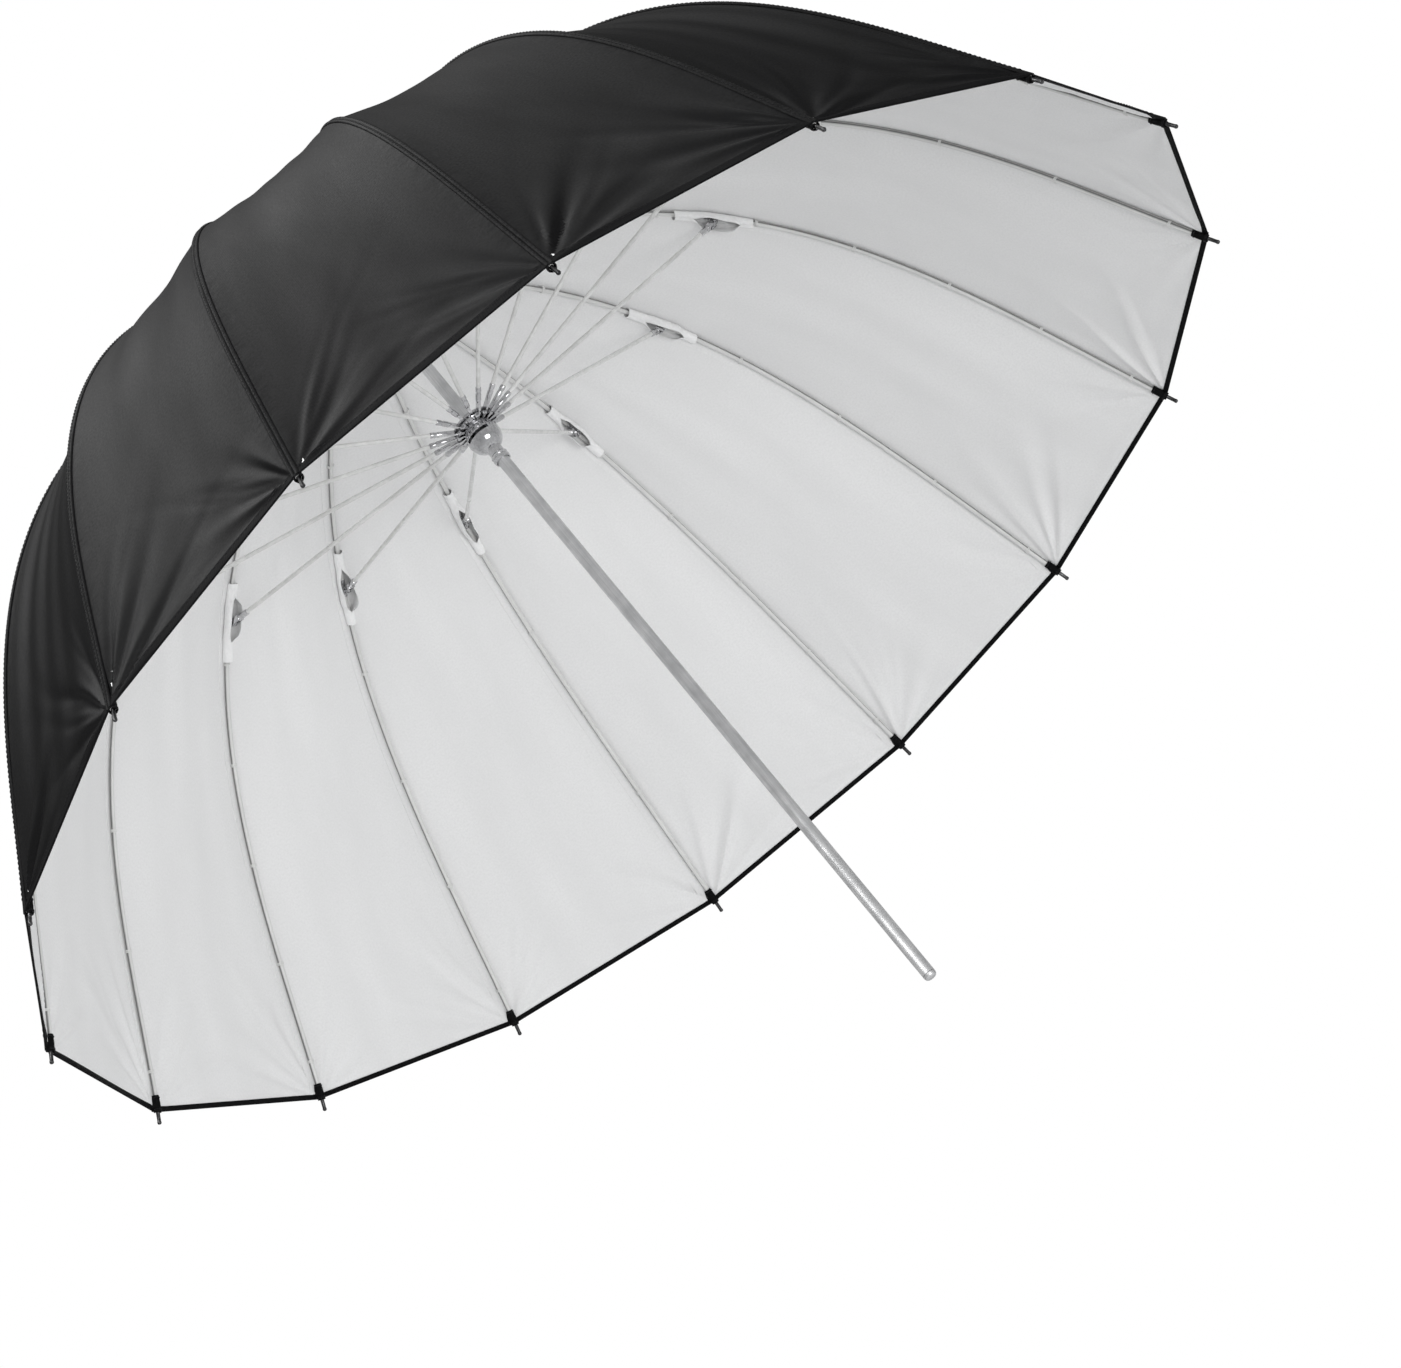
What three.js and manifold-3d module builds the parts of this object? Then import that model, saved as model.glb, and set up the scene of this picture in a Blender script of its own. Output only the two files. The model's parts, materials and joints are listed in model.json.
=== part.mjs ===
// A deep sixteen-rib umbrella reflector, opened out, in millimetres.
// Z runs along the shaft towards the apex, and the origin is where a stand's holder grips the shaft.
// Rib 01 lies in the XZ plane, and the others follow it round the shaft.

import * as THREE from 'three';
import { mergeVertices } from 'three/addons/utils/BufferGeometryUtils.js';
import Module from 'manifold-3d';

const wasm = await Module();
wasm.setup();

// Driving dimensions
const RIB_COUNT = 16;
const GAP = 0.3;
const SHAFT = { radius: 4, bore: 3.3, bottom: -97, top: 493 };
const TAIL_END = -100;
const APEX_END = 505;
const CROWN = { pivotRadius: 11, pivotZ: 480, radius: 13.6, half: 3.4, slot: 2.6, slotFloor: 8.2 };
const CROWN_COLLAR = { radius: 7, drop: 12 };
const CROWN_PIN = { radius: 1, half: 7.6, drop: 7.5 };
const WASHER = { radius: 24, rise: 5, thickness: 1 };
const FERRULE = { flange: 7.5, neck: 6.2, top: 5.8 };
const TAIL_CAP = { plug: 10, flat: 2.4 };
const RUNNER = { pivotRadius: 12, pivotZ: 354, radius: 14.2, half: 3.2, slot: 2.5, slotFloor: 9.2 };
const BALL = { radius: 11, z: 343.8, end: -1.05 };
const COLLAR = { radius: 5.6, low: 323.5 };
const WIRE_RADIUS = 0.6;
const WIRE_GROOVE = 0.95;
const RIM = { radius: 425, z: 169 };
const RIB = { radius: 1.7, plate: 1.9, eye: 2.3, rodStart: 19, tipLength: 9, tipRadius: 1.15 };
const RIB_JOINT = { arc: 241.5, drop: 5, lug: 1.6, eye: 2.4, pin: 1, pinHalf: 3.3 };
const STRETCHER = { radius: 1.35, ferrule: 2, ferruleEnd: 15, sleeve: 1.7, ear: 1.2, earGap: 0.35 };
const TONGUE = { length: 9.5, width: 1.7, height: 3.2, short: 1, sleeve: 8 };
const CLOTH = { thickness: 0.8, dish: 0.016, dishReach: 1.15, seamGap: 0.2 };
const SHOULDER = 342.4;
const WINDOW = { low: 343.3, high: 345.5, halfWidth: 8 };
const NOSE = { low: 342.9, high: 346.5, reach: 6, below: 1.5, above: 3.5 };
const CATCH = { pivotZ: 306, pin: 0.8, width: 1.8, slot: 2.6 };
const STATIONS = 10;
const COLUMNS = 4;
const PITCH = 2 * Math.PI / RIB_COUNT;

// The rib's curve in the XZ plane, from the crown's pivot to the rim, flat on top and steep at the rim
const ribCurve = new THREE.CubicBezierCurve3(
  new THREE.Vector3(CROWN.pivotRadius, 0, CROWN.pivotZ),
  new THREE.Vector3(299, 0, 502.5),
  new THREE.Vector3(355, 0, 300.5),
  new THREE.Vector3(RIM.radius, 0, RIM.z),
);
ribCurve.arcLengthDivisions = 2000;
const ribLength = ribCurve.getLength();

// The stretch of a curve between two shares of its length
class Stretch extends THREE.Curve {
  constructor(curve, from, to) {
    super();
    Object.assign(this, { curve, from, to });
  }
  getPoint(t, target = new THREE.Vector3()) {
    return target.copy(this.curve.getPointAt(this.from + t * (this.to - this.from)));
  }
}

const rodStart = (RIB.rodStart - CROWN.pivotRadius) / ribLength;
const rodEnd = 1 - RIB.tipLength / ribLength;
const ribRod = new Stretch(ribCurve, rodStart, rodEnd);
const crownPivot = new THREE.Vector3(CROWN.pivotRadius, 0, CROWN.pivotZ);
const runnerPivot = new THREE.Vector3(RUNNER.pivotRadius, 0, RUNNER.pivotZ);

// The unit vector that points away from the curve on its outer side, at a share of its length
function outwards(curve, share) {
  const tangent = curve.getTangentAt(share);
  return new THREE.Vector3(-tangent.z, 0, tangent.x);
}

const jointShare = RIB_JOINT.arc / ribLength;
const jointOut = outwards(ribCurve, jointShare);
const jointPivot = ribCurve.getPointAt(jointShare).addScaledVector(jointOut, -RIB_JOINT.drop);

// Solids: every shape becomes a closed solid with its faces pointing out
function signedVolume(position, index) {
  const [a, b, c] = [new THREE.Vector3(), new THREE.Vector3(), new THREE.Vector3()];
  let volume = 0;
  for (let i = 0; i < index.count; i += 3) {
    a.fromBufferAttribute(position, index.getX(i));
    b.fromBufferAttribute(position, index.getX(i + 1));
    c.fromBufferAttribute(position, index.getX(i + 2));
    volume += a.dot(b.cross(c)) / 6;
  }
  return volume;
}

function toSolid(geometry) {
  const plain = geometry.clone();
  plain.deleteAttribute('normal');
  plain.deleteAttribute('uv');
  const merged = mergeVertices(plain, 1e-4);
  const faces = [];
  const index = merged.index;
  const flip = signedVolume(merged.attributes.position, index) < 0;
  for (let i = 0; i < index.count; i += 3) {
    const [a, b, c] = [index.getX(i), index.getX(i + 1), index.getX(i + 2)];
    if (a !== b && b !== c && c !== a) faces.push(a, flip ? c : b, flip ? b : c);
  }
  const vertProperties = Float32Array.from(merged.attributes.position.array);
  return new wasm.Manifold(new wasm.Mesh({ numProp: 3, vertProperties, triVerts: Uint32Array.from(faces) }));
}

function toGeometry(solid) {
  const { vertProperties, triVerts } = solid.getMesh();
  const geometry = new THREE.BufferGeometry();
  geometry.setAttribute('position', new THREE.BufferAttribute(vertProperties, 3));
  geometry.setIndex(new THREE.BufferAttribute(triVerts, 1));
  geometry.computeVertexNormals();
  return geometry;
}

// A turned shape round the Z axis, from [radius, z] points, which start and end on the axis or close
function turned(points, sides) {
  const outline = points.map(([radius, z]) => new THREE.Vector2(radius, z));
  return toSolid(new THREE.LatheGeometry(outline, sides).rotateX(Math.PI / 2));
}

function tube(inner, outer, low, high, sides) {
  return turned([[inner, low], [outer, low], [outer, high], [inner, high], [inner, low]], sides);
}

function box(x, y, z, centre) {
  return toSolid(new THREE.BoxGeometry(x, y, z).translate(...centre));
}

// A rod along X or Y through a point
function crossRod(axis, radius, half, centre, sides = 8) {
  const rod = new THREE.CylinderGeometry(radius, radius, 2 * half, sides);
  if (axis === 'x') rod.rotateZ(Math.PI / 2);
  return toSolid(rod.translate(...centre));
}

// A flat bar along X with a round end at the origin, through which a pin may pass
function flatEye({ eye, length, half, thickness, hole = 0 }) {
  const turn = Math.asin(half / eye);
  const shape = new THREE.Shape().absarc(0, 0, eye, turn, 2 * Math.PI - turn);
  shape.lineTo(length, -half).lineTo(length, half);
  if (hole) shape.holes.push(new THREE.Path().absarc(0, 0, hole, 0, 2 * Math.PI, true));
  const bar = new THREE.ExtrudeGeometry(shape, { depth: thickness, bevelEnabled: false, curveSegments: 3 });
  return bar.translate(0, 0, -thickness / 2).rotateX(Math.PI / 2);
}

// Sixteen radial slots for the rib eyes or the stretcher ends, and a groove for the wire that holds them
function slotted(body, { pivotRadius, pivotZ, radius, half, slot, slotFloor }) {
  let cut = body;
  const depth = radius - slotFloor + 1;
  for (let k = 0; k < RIB_COUNT; k += 1) {
    const shape = new THREE.BoxGeometry(depth, slot, 2 * half + 2);
    shape.translate(slotFloor + depth / 2, 0, pivotZ);
    cut = cut.subtract(toSolid(shape.rotateZ(k * PITCH)));
  }
  const inner = pivotRadius - WIRE_GROOVE;
  return cut.subtract(tube(inner, radius + 1, pivotZ - WIRE_GROOVE, pivotZ + WIRE_GROOVE, 32));
}

function wireRing({ pivotRadius, pivotZ }) {
  return toSolid(new THREE.TorusGeometry(pivotRadius, WIRE_RADIUS, 6, 32).translate(0, 0, pivotZ));
}

// Shaft: an 8 mm tube with a slot for the catch's nose and holes for two pins
const crownPinZ = CROWN.pivotZ - CROWN_PIN.drop;
function makeShaft() {
  const slotLow = NOSE.low - NOSE.below;
  const slotHigh = NOSE.high + NOSE.above;
  const slot = [CATCH.slot, SHAFT.radius, slotHigh - slotLow];
  return tube(SHAFT.bore, SHAFT.radius, SHAFT.bottom, SHAFT.top, 24)
    .subtract(box(...slot, [0, -SHAFT.radius, (slotLow + slotHigh) / 2]))
    .subtract(crossRod('x', CATCH.pin + GAP, SHAFT.radius + 1, [0, 0, CATCH.pivotZ]))
    .subtract(crossRod('y', CROWN_PIN.radius + GAP, SHAFT.radius + 1, [0, 0, crownPinZ]));
}

// Tail cap: a rounded metal plug in the shaft's free end, with a small flat on its nose
function makeTailCap() {
  const low = SHAFT.bottom - GAP;
  return turned([
    [0, low + TAIL_CAP.plug], [SHAFT.bore - GAP, low + TAIL_CAP.plug], [SHAFT.bore - GAP, low],
    [SHAFT.radius, low], [SHAFT.radius - 0.2, low - 1.2], [SHAFT.radius - 0.8, low - 2.2],
    [TAIL_CAP.flat, TAIL_END], [0, TAIL_END],
  ], 24);
}

// Crown: a slotted disc with a collar below it, pinned to the shaft
function makeCrown() {
  const { radius, half, pivotZ } = CROWN;
  const low = pivotZ - CROWN_COLLAR.drop;
  const collar = CROWN_COLLAR.radius;
  const body = turned([
    [SHAFT.radius + GAP, low], [collar, low], [collar, pivotZ - half], [radius, pivotZ - half],
    [radius, pivotZ + half], [SHAFT.radius + GAP, pivotZ + half], [SHAFT.radius + GAP, low],
  ], 32);
  const hole = crossRod('y', CROWN_PIN.radius + GAP, collar + 2, [0, 0, crownPinZ]);
  return slotted(body, CROWN).subtract(hole);
}

// Runner: slotted flange, ball with a window for the catch's nose, neck and rolled collar
function makeRunner() {
  const { radius, half, pivotZ } = RUNNER;
  const flangeLow = pivotZ - half;
  const flangeHigh = pivotZ + half;
  const wide = NOSE.reach + 0.4;
  const close = SHAFT.radius + GAP;
  const ball = [];
  const start = Math.asin((flangeLow - BALL.z) / BALL.radius);
  for (let i = 0; i <= 5; i += 1) {
    const angle = start + (BALL.end - start) * i / 5;
    ball.push([BALL.radius * Math.cos(angle), BALL.z + BALL.radius * Math.sin(angle)]);
  }
  const body = turned([
    [wide, SHOULDER], [wide, flangeHigh], [radius, flangeHigh], [radius, flangeLow], ...ball,
    [4.9, COLLAR.low + 5.4], [COLLAR.radius, COLLAR.low + 4.4], [COLLAR.radius, COLLAR.low + 1],
    [5, COLLAR.low], [close, COLLAR.low], [close, SHOULDER], [wide, SHOULDER],
  ], 32);
  const height = WINDOW.high - WINDOW.low;
  const window = [2 * WINDOW.halfWidth, BALL.radius, height];
  return slotted(body, RUNNER)
    .subtract(box(...window, [0, -BALL.radius / 2 - 3, WINDOW.low + height / 2]));
}

// Catch: a flat spring that turns on a pin inside the shaft, whose nose stands under the runner's shoulder
function makeCatch() {
  const { pivotZ, pin, width } = CATCH;
  const leaf = new THREE.Shape([
    [-0.9, pivotZ - 1.4], [0.9, pivotZ - 1.4], [1.5, pivotZ], [0.9, pivotZ + 2], [-1.7, NOSE.low - 8],
    [-1.7, NOSE.high + 2.4], [-2.6, NOSE.high + 2.4], [-NOSE.reach, NOSE.high - 1.6],
    [-NOSE.reach, NOSE.low], [-2.6, NOSE.low], [-2.6, NOSE.low - 8], [-1.5, pivotZ],
  ].map(([y, z]) => new THREE.Vector2(y, z)));
  const eye = new THREE.Path();
  eye.absarc(0, pivotZ, pin + 0.15, 0, 2 * Math.PI, true);
  leaf.holes.push(eye);
  const shape = new THREE.ExtrudeGeometry(leaf, { depth: width, bevelEnabled: false, curveSegments: 10 });
  shape.translate(0, 0, -width / 2).rotateX(Math.PI / 2).rotateZ(Math.PI / 2);
  return toSolid(shape);
}

// Ferrule: the closed cap on the shaft's top end, which clamps the washer and the cloth
const washerLow = CROWN.pivotZ + WASHER.rise;
function makeFerrule() {
  const low = washerLow + WASHER.thickness + GAP;
  const bore = SHAFT.radius + GAP;
  const { flange, neck, top } = FERRULE;
  return turned([
    [bore, low], [flange, low], [flange, low + 2.5], [neck, low + 4], [top, APEX_END - 4],
    [4.6, APEX_END - 1.4], [2.4, APEX_END], [0, APEX_END], [0, SHAFT.top + GAP],
    [bore, SHAFT.top + GAP], [bore, low],
  ], 24);
}

function makeWasher() {
  return tube(SHAFT.radius + GAP, WASHER.radius, washerLow, washerLow + WASHER.thickness, 32);
}

// Rib: a round fibreglass rod with a flattened eye in the crown, a lug and pin for its stretcher, and a tip
function makeRib() {
  const section = new THREE.Shape().absarc(0, 0, RIB.radius, 0, 2 * Math.PI);
  const path = { steps: STATIONS, bevelEnabled: false, extrudePath: ribRod, curveSegments: 3 };
  const rod = toSolid(new THREE.ExtrudeGeometry(section, path));
  const length = RIB.rodStart - CROWN.pivotRadius + 1.5;
  const plate = flatEye({ eye: RIB.eye, length, half: 1.5, thickness: RIB.plate, hole: WIRE_GROOVE });
  const start = ribCurve.getTangentAt(0);
  plate.rotateY(-Math.atan2(start.z, start.x)).translate(crownPivot.x, 0, crownPivot.z);
  const tip = new THREE.CylinderGeometry(RIB.tipRadius * 0.6, RIB.tipRadius, RIB.tipLength + 1, 6);
  const lean = ribCurve.getTangentAt(1);
  tip.rotateX(Math.PI / 2).rotateY(Math.atan2(lean.x, lean.z));
  const tipAt = ribCurve.getPointAt(1).addScaledVector(lean, -(RIB.tipLength + 1) / 2);
  tip.translate(tipAt.x, 0, tipAt.z);
  return rod.add(toSolid(plate)).add(toSolid(tip)).add(makeLug());
}

function makeLug() {
  const { lug, eye, drop, pin, pinHalf } = RIB_JOINT;
  const tongue = flatEye({ eye, length: drop, half: eye * 0.8, thickness: lug });
  tongue.rotateY(-Math.atan2(jointOut.z, jointOut.x)).translate(jointPivot.x, 0, jointPivot.z);
  return toSolid(tongue).add(crossRod('y', pin, pinHalf, jointPivot.toArray(), 6));
}

// Stretcher: a thin rod with a fork at the rib's pin and a crimped sleeve and tongue at the runner.
// It is made along X from the rib's pin, then turned into its place in the XZ plane.
function makeStretcher() {
  const reach = runnerPivot.clone().sub(jointPivot);
  const length = reach.length();
  const { radius, ferrule, ferruleEnd, sleeve, ear, earGap } = STRETCHER;
  const { lug, eye, pin } = RIB_JOINT;
  const earAt = lug / 2 + earGap;
  const sleeveEnd = length - 9;
  const sleeveStart = sleeveEnd - TONGUE.sleeve;
  const outline = [
    [0, 6], [ferrule, 6], [ferrule, ferruleEnd], [radius, ferruleEnd], [radius, sleeveStart],
    [sleeve, sleeveStart], [sleeve, sleeveEnd], [0, sleeveEnd],
  ];
  const lathe = outline.map(([r, x]) => new THREE.Vector2(r, x));
  const rod = toSolid(new THREE.LatheGeometry(lathe, 5).rotateZ(-Math.PI / 2));
  const tongueAt = [length - TONGUE.short - TONGUE.length / 2, 0, 0];
  const tongue = box(TONGUE.length, TONGUE.width, TONGUE.height, tongueAt);
  const fork = { eye, length: 8, half: eye * 0.8, thickness: 2 * (earAt + ear), hole: pin + 0.35 };
  const slot = box(eye + 3.4 + 4, 2 * earAt, 2 * eye + 1, [(eye + 3.4 - 4) / 2, 0, 0]);
  const whole = toSolid(flatEye(fork)).subtract(slot).add(rod).add(tongue);
  const geometry = toGeometry(whole);
  geometry.rotateY(-Math.atan2(reach.z, reach.x)).translate(jointPivot.x, 0, jointPivot.z);
  return toSolid(geometry);
}

// Canopy panel: cloth stretched from one rib to the next. Across the panel it follows the straight chord
// between the ribs and sags a little towards the shaft; along it, it follows the rib's curve.
function makeGore() {
  const wall = [];
  for (const offset of [RIB.radius + GAP, RIB.radius + GAP + CLOTH.thickness]) {
    for (let i = 0; i <= STATIONS; i += 1) {
      const share = i / STATIONS;
      const out = outwards(ribRod, share);
      const seam = ribRod.getPointAt(share).addScaledVector(out, offset);
      const sag = CLOTH.dish * seam.x * Math.sin(Math.PI * Math.min(1, CLOTH.dishReach * (1 - share)));
      const edge = CLOTH.seamGap / seam.x;
      for (let j = 0; j <= COLUMNS; j += 1) {
        const across = j / COLUMNS;
        const azimuth = edge + across * (PITCH - 2 * edge);
        const inwards = sag * 4 * across * (1 - across);
        const chord = seam.x * Math.cos(PITCH / 2) / Math.cos(azimuth - PITCH / 2);
        const radius = chord - inwards * out.x;
        wall.push(radius * Math.cos(azimuth), radius * Math.sin(azimuth), seam.z - inwards * out.z);
      }
    }
  }
  const row = COLUMNS + 1;
  const sheet = row * (STATIONS + 1);
  const faces = [];
  const quad = (a, b, c, d) => faces.push(a, b, c, a, c, d);
  for (let i = 0; i < STATIONS; i += 1) {
    for (let j = 0; j < COLUMNS; j += 1) {
      const at = i * row + j;
      quad(at, at + 1, at + row + 1, at + row);
      quad(sheet + at, sheet + at + row, sheet + at + row + 1, sheet + at + 1);
    }
    const left = i * row;
    const right = i * row + COLUMNS;
    quad(left, left + row, sheet + left + row, sheet + left);
    quad(right, sheet + right, sheet + right + row, right + row);
  }
  for (let j = 0; j < COLUMNS; j += 1) {
    const end = STATIONS * row + j;
    quad(j, sheet + j, sheet + j + 1, j + 1);
    quad(end, end + 1, sheet + end + 1, sheet + end);
  }
  const geometry = new THREE.BufferGeometry();
  geometry.setAttribute('position', new THREE.Float32BufferAttribute(wall, 3));
  geometry.setIndex(faces);
  return toSolid(geometry);
}

// Materials
const finish = (color, roughness, metalness) => new THREE.MeshStandardMaterial({ color, roughness, metalness });
const materials = {
  satinSteel: finish(0xb9bbbd, 0.35, 1),
  chrome: finish(0xd4d6d8, 0.12, 1),
  spring: finish(0x8e9092, 0.3, 1),
  black: finish(0x161617, 0.5, 0),
  rib: finish(0xc9c9c6, 0.45, 0),
  rod: finish(0xe2e2df, 0.4, 0),
  cloth: finish(0x1c1c1e, 0.6, 0),
};

const umbrella = new THREE.Group();

function place(name, solid, material, turn = 0) {
  const mesh = new THREE.Mesh(toGeometry(solid), material);
  mesh.name = name;
  mesh.rotation.z = turn;
  umbrella.add(mesh);
}

place('shaft', makeShaft(), materials.satinSteel);
place('shaft_tail_cap', makeTailCap(), materials.satinSteel);
place('crown', makeCrown(), materials.chrome);
place('crown_wire', wireRing(CROWN), materials.spring);
place('crown_pin', crossRod('y', CROWN_PIN.radius, CROWN_PIN.half, [0, 0, crownPinZ]), materials.satinSteel);
place('canopy_washer', makeWasher(), materials.black);
place('ferrule', makeFerrule(), materials.black);
place('runner', makeRunner(), materials.chrome);
place('runner_wire', wireRing(RUNNER), materials.spring);
place('catch_spring', makeCatch(), materials.spring);
place('catch_pin', crossRod('x', CATCH.pin, SHAFT.radius - 0.1, [0, 0, CATCH.pivotZ]), materials.spring);

const rib = makeRib();
const stretcher = makeStretcher();
const gore = makeGore();
for (let k = 0; k < RIB_COUNT; k += 1) {
  const number = String(k + 1).padStart(2, '0');
  place(`rib_${number}`, rib, materials.rib, k * PITCH);
  place(`stretcher_${number}`, stretcher, materials.rod, k * PITCH);
  place(`gore_${number}`, gore, materials.cloth, k * PITCH);
}

export default umbrella;
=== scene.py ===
# A deep sixteen-rib umbrella reflector, opened out: black cloth outside, white cloth inside.
# Z runs along the shaft towards the apex. Rib 01 lies in the XZ plane, and the others follow it round.
import json
import math

import bmesh
import bpy
import numpy as np
from mathutils import Matrix, Vector


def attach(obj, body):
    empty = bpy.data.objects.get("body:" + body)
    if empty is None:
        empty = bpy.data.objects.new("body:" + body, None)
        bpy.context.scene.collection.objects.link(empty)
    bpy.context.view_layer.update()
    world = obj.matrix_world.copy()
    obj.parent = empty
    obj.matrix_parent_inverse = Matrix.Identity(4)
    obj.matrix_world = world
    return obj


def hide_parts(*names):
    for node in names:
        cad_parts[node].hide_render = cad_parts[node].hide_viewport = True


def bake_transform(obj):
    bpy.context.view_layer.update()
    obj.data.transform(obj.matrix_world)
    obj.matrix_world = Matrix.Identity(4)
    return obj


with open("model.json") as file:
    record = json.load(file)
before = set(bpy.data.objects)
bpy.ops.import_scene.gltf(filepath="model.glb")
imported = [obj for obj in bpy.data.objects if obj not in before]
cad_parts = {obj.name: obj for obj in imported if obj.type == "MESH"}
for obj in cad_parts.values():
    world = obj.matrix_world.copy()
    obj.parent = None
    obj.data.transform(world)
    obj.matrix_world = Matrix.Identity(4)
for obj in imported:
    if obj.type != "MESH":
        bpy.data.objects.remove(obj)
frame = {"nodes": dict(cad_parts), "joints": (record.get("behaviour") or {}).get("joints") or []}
bpy.context.view_layer.update()


# Shaft
# An 8 mm thin-walled steel tube, drawn and satin polished along its length. A long slot near the
# runner lets the spring catch out, and cross holes take the crown's pin and the catch's pin.
MM = 0.001
SHAFT_RADIUS = 4.0
SHAFT_BORE = 3.3
SHAFT_LOW = -97.0
SHAFT_HIGH = 493.0
CATCH_SLOT_LOW = 341.4
CATCH_SLOT_HIGH = 350.0
CATCH_SLOT_WIDTH = 2.6
CROWN_PIN_HEIGHT = 472.5
CROWN_PIN_RADIUS = 1
CATCH_PIN_HEIGHT = 306.0
CATCH_PIN_RADIUS = 0.8
FIT = 0.3


def soften(mesh, crease=34):
    """Smooth shading with the edges sharper than the crease angle kept crisp."""
    mesh.polygons.foreach_set("use_smooth", [True] * len(mesh.polygons))
    mesh.set_sharp_from_angle(angle=math.radians(crease))


def add_piece(name, points, faces, materials, face_materials=None):
    """A piece at the origin, with its place in its mesh and its faces looking outwards."""
    mesh = bpy.data.meshes.new(name)
    mesh.from_pydata(np.asarray(points, float).tolist(), [], [list(map(int, f)) for f in faces])
    for material in materials:
        mesh.materials.append(material)
    if face_materials is not None:
        mesh.polygons.foreach_set("material_index", face_materials)
    solid = bmesh.new()
    solid.from_mesh(mesh)
    bmesh.ops.recalc_face_normals(solid, faces=solid.faces)
    solid.to_mesh(mesh)
    solid.free()
    soften(mesh)
    piece = bpy.data.objects.new(name, mesh)
    bpy.context.collection.objects.link(piece)
    return piece


def turned(outline, steps=72, place=None):
    """Points in metres and faces of a lathe-turned solid round Z, from (radius, height) points in mm.
    The outline starts and ends on the axis, or closes on itself. place is a Matrix in metres."""
    closed = tuple(outline[0]) == tuple(outline[-1])
    profile = outline[:-1] if closed else outline
    points, rows = [], []
    for radius, height in profile:
        if radius == 0:
            rows.append([len(points)] * steps)
            points.append((0, 0, height * MM))
            continue
        rows.append(list(range(len(points), len(points) + steps)))
        for i in range(steps):
            angle = 2 * math.pi * i / steps
            points.append((radius * math.cos(angle) * MM, radius * math.sin(angle) * MM, height * MM))
    faces = []
    for low, high in zip(rows, rows[1:] + (rows[:1] if closed else [])):
        for i in range(steps):
            j = (i + 1) % steps
            face = list(dict.fromkeys([low[i], low[j], high[j], high[i]]))
            if len(face) > 2:
                faces.append(face)
    if place is not None:
        points = [tuple(place @ Vector(p)) for p in points]
    return np.array(points), faces


def prism(outline, half, place):
    """Points and faces of a flat plate: an (x, z) outline in mm, given a thickness of 2 * half along Y."""
    count = len(outline)
    points = [place @ Vector((x * MM, side * half * MM, z * MM)) for side in (-1, 1) for x, z in outline]
    faces = [list(range(count)), list(range(2 * count - 1, count - 1, -1))]
    faces += [[i, (i + 1) % count, (i + 1) % count + count, i + count] for i in range(count)]
    return np.array([tuple(p) for p in points]), faces


def joined(shapes):
    """Several (points, faces) shapes as one, and which shape each face came from."""
    points, faces, origin = [], [], []
    for number, (shape_points, shape_faces) in enumerate(shapes):
        start = sum(len(p) for p in points)
        points.append(np.asarray(shape_points, float))
        faces += [[start + i for i in face] for face in shape_faces]
        origin += [number] * len(shape_faces)
    return np.concatenate(points), faces, origin


def block(size, centre):
    """A cutter block: its size and centre in mm."""
    x, y, z = (s / 2 for s in size)
    outline = [(-x, -z), (x, -z), (x, z), (-x, z)]
    return prism(outline, y, Matrix.Translation(Vector(centre) * MM))


def drill(radius, half, place):
    """A cutter for a round hole through a place, sizes in mm."""
    return turned([(0, -half), (radius, -half), (radius, half), (0, half)], 20, place)


def carve(piece, cutters):
    """Cuts each (points, faces) cutter out of a piece, and leaves the piece a plain mesh."""
    helpers = []
    for points, faces in cutters:
        helper = add_piece("cutter", points, faces, [])
        cut = piece.modifiers.new("cut", "BOOLEAN")
        cut.operation = "DIFFERENCE"
        cut.solver = "EXACT"
        cut.object = helper
        helpers.append(helper)
    bpy.context.view_layer.update()
    graph = bpy.context.evaluated_depsgraph_get()
    mesh = bpy.data.meshes.new_from_object(piece.evaluated_get(graph))
    piece.modifiers.clear()
    piece.data = mesh
    for helper in helpers:
        bpy.data.objects.remove(helper)
    soften(mesh)


def node(tree, kind, inputs=None, **settings):
    """A node, with its settings and its inputs: each input is a value or another node's socket."""
    made = tree.nodes.new(kind)
    for key, value in settings.items():
        setattr(made, key, value)
    for socket, value in (inputs or {}).items():
        if isinstance(value, bpy.types.NodeSocket):
            tree.links.new(value, made.inputs[socket])
        else:
            made.inputs[socket].default_value = value
    return made


def new_finish(name, constants):
    """A material whose shader has these constant inputs, its node tree and its shader."""
    material = bpy.data.materials.new(name)
    material.use_nodes = True
    tree = material.node_tree
    shader = tree.nodes["Principled BSDF"]
    for socket, value in constants.items():
        shader.inputs[socket].default_value = value
    return material, tree, shader


def between(tree, value, low, high, start=0.0, end=1.0):
    """A value that runs from start to end, spread from low to high."""
    ends = {"Value": value, "From Min": start, "From Max": end, "To Min": low, "To Max": high}
    return node(tree, "ShaderNodeMapRange", ends).outputs["Result"]


def times(tree, first, second):
    """Two values multiplied."""
    return node(tree, "ShaderNodeMath", {0: first, 1: second}, operation="MULTIPLY").outputs["Value"]


def on_object(tree):
    """The place on a piece in metres."""
    return node(tree, "ShaderNodeTexCoord").outputs["Object"]


def noise(tree, place, scale, detail, roughness=0.5):
    """A 0 to 1 noise value over a place."""
    sizes = {"Vector": place, "Scale": scale, "Detail": detail, "Roughness": roughness}
    return node(tree, "ShaderNodeTexNoise", sizes).outputs["Fac"]


def bumped(tree, height, strength, distance, normal=None):
    """The normal of a surface bumped by a height, on top of another bump if there is one."""
    sizes = {"Height": height, "Strength": strength, "Distance": distance}
    if normal is not None:
        sizes["Normal"] = normal
    return node(tree, "ShaderNodeBump", sizes).outputs["Normal"]


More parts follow.
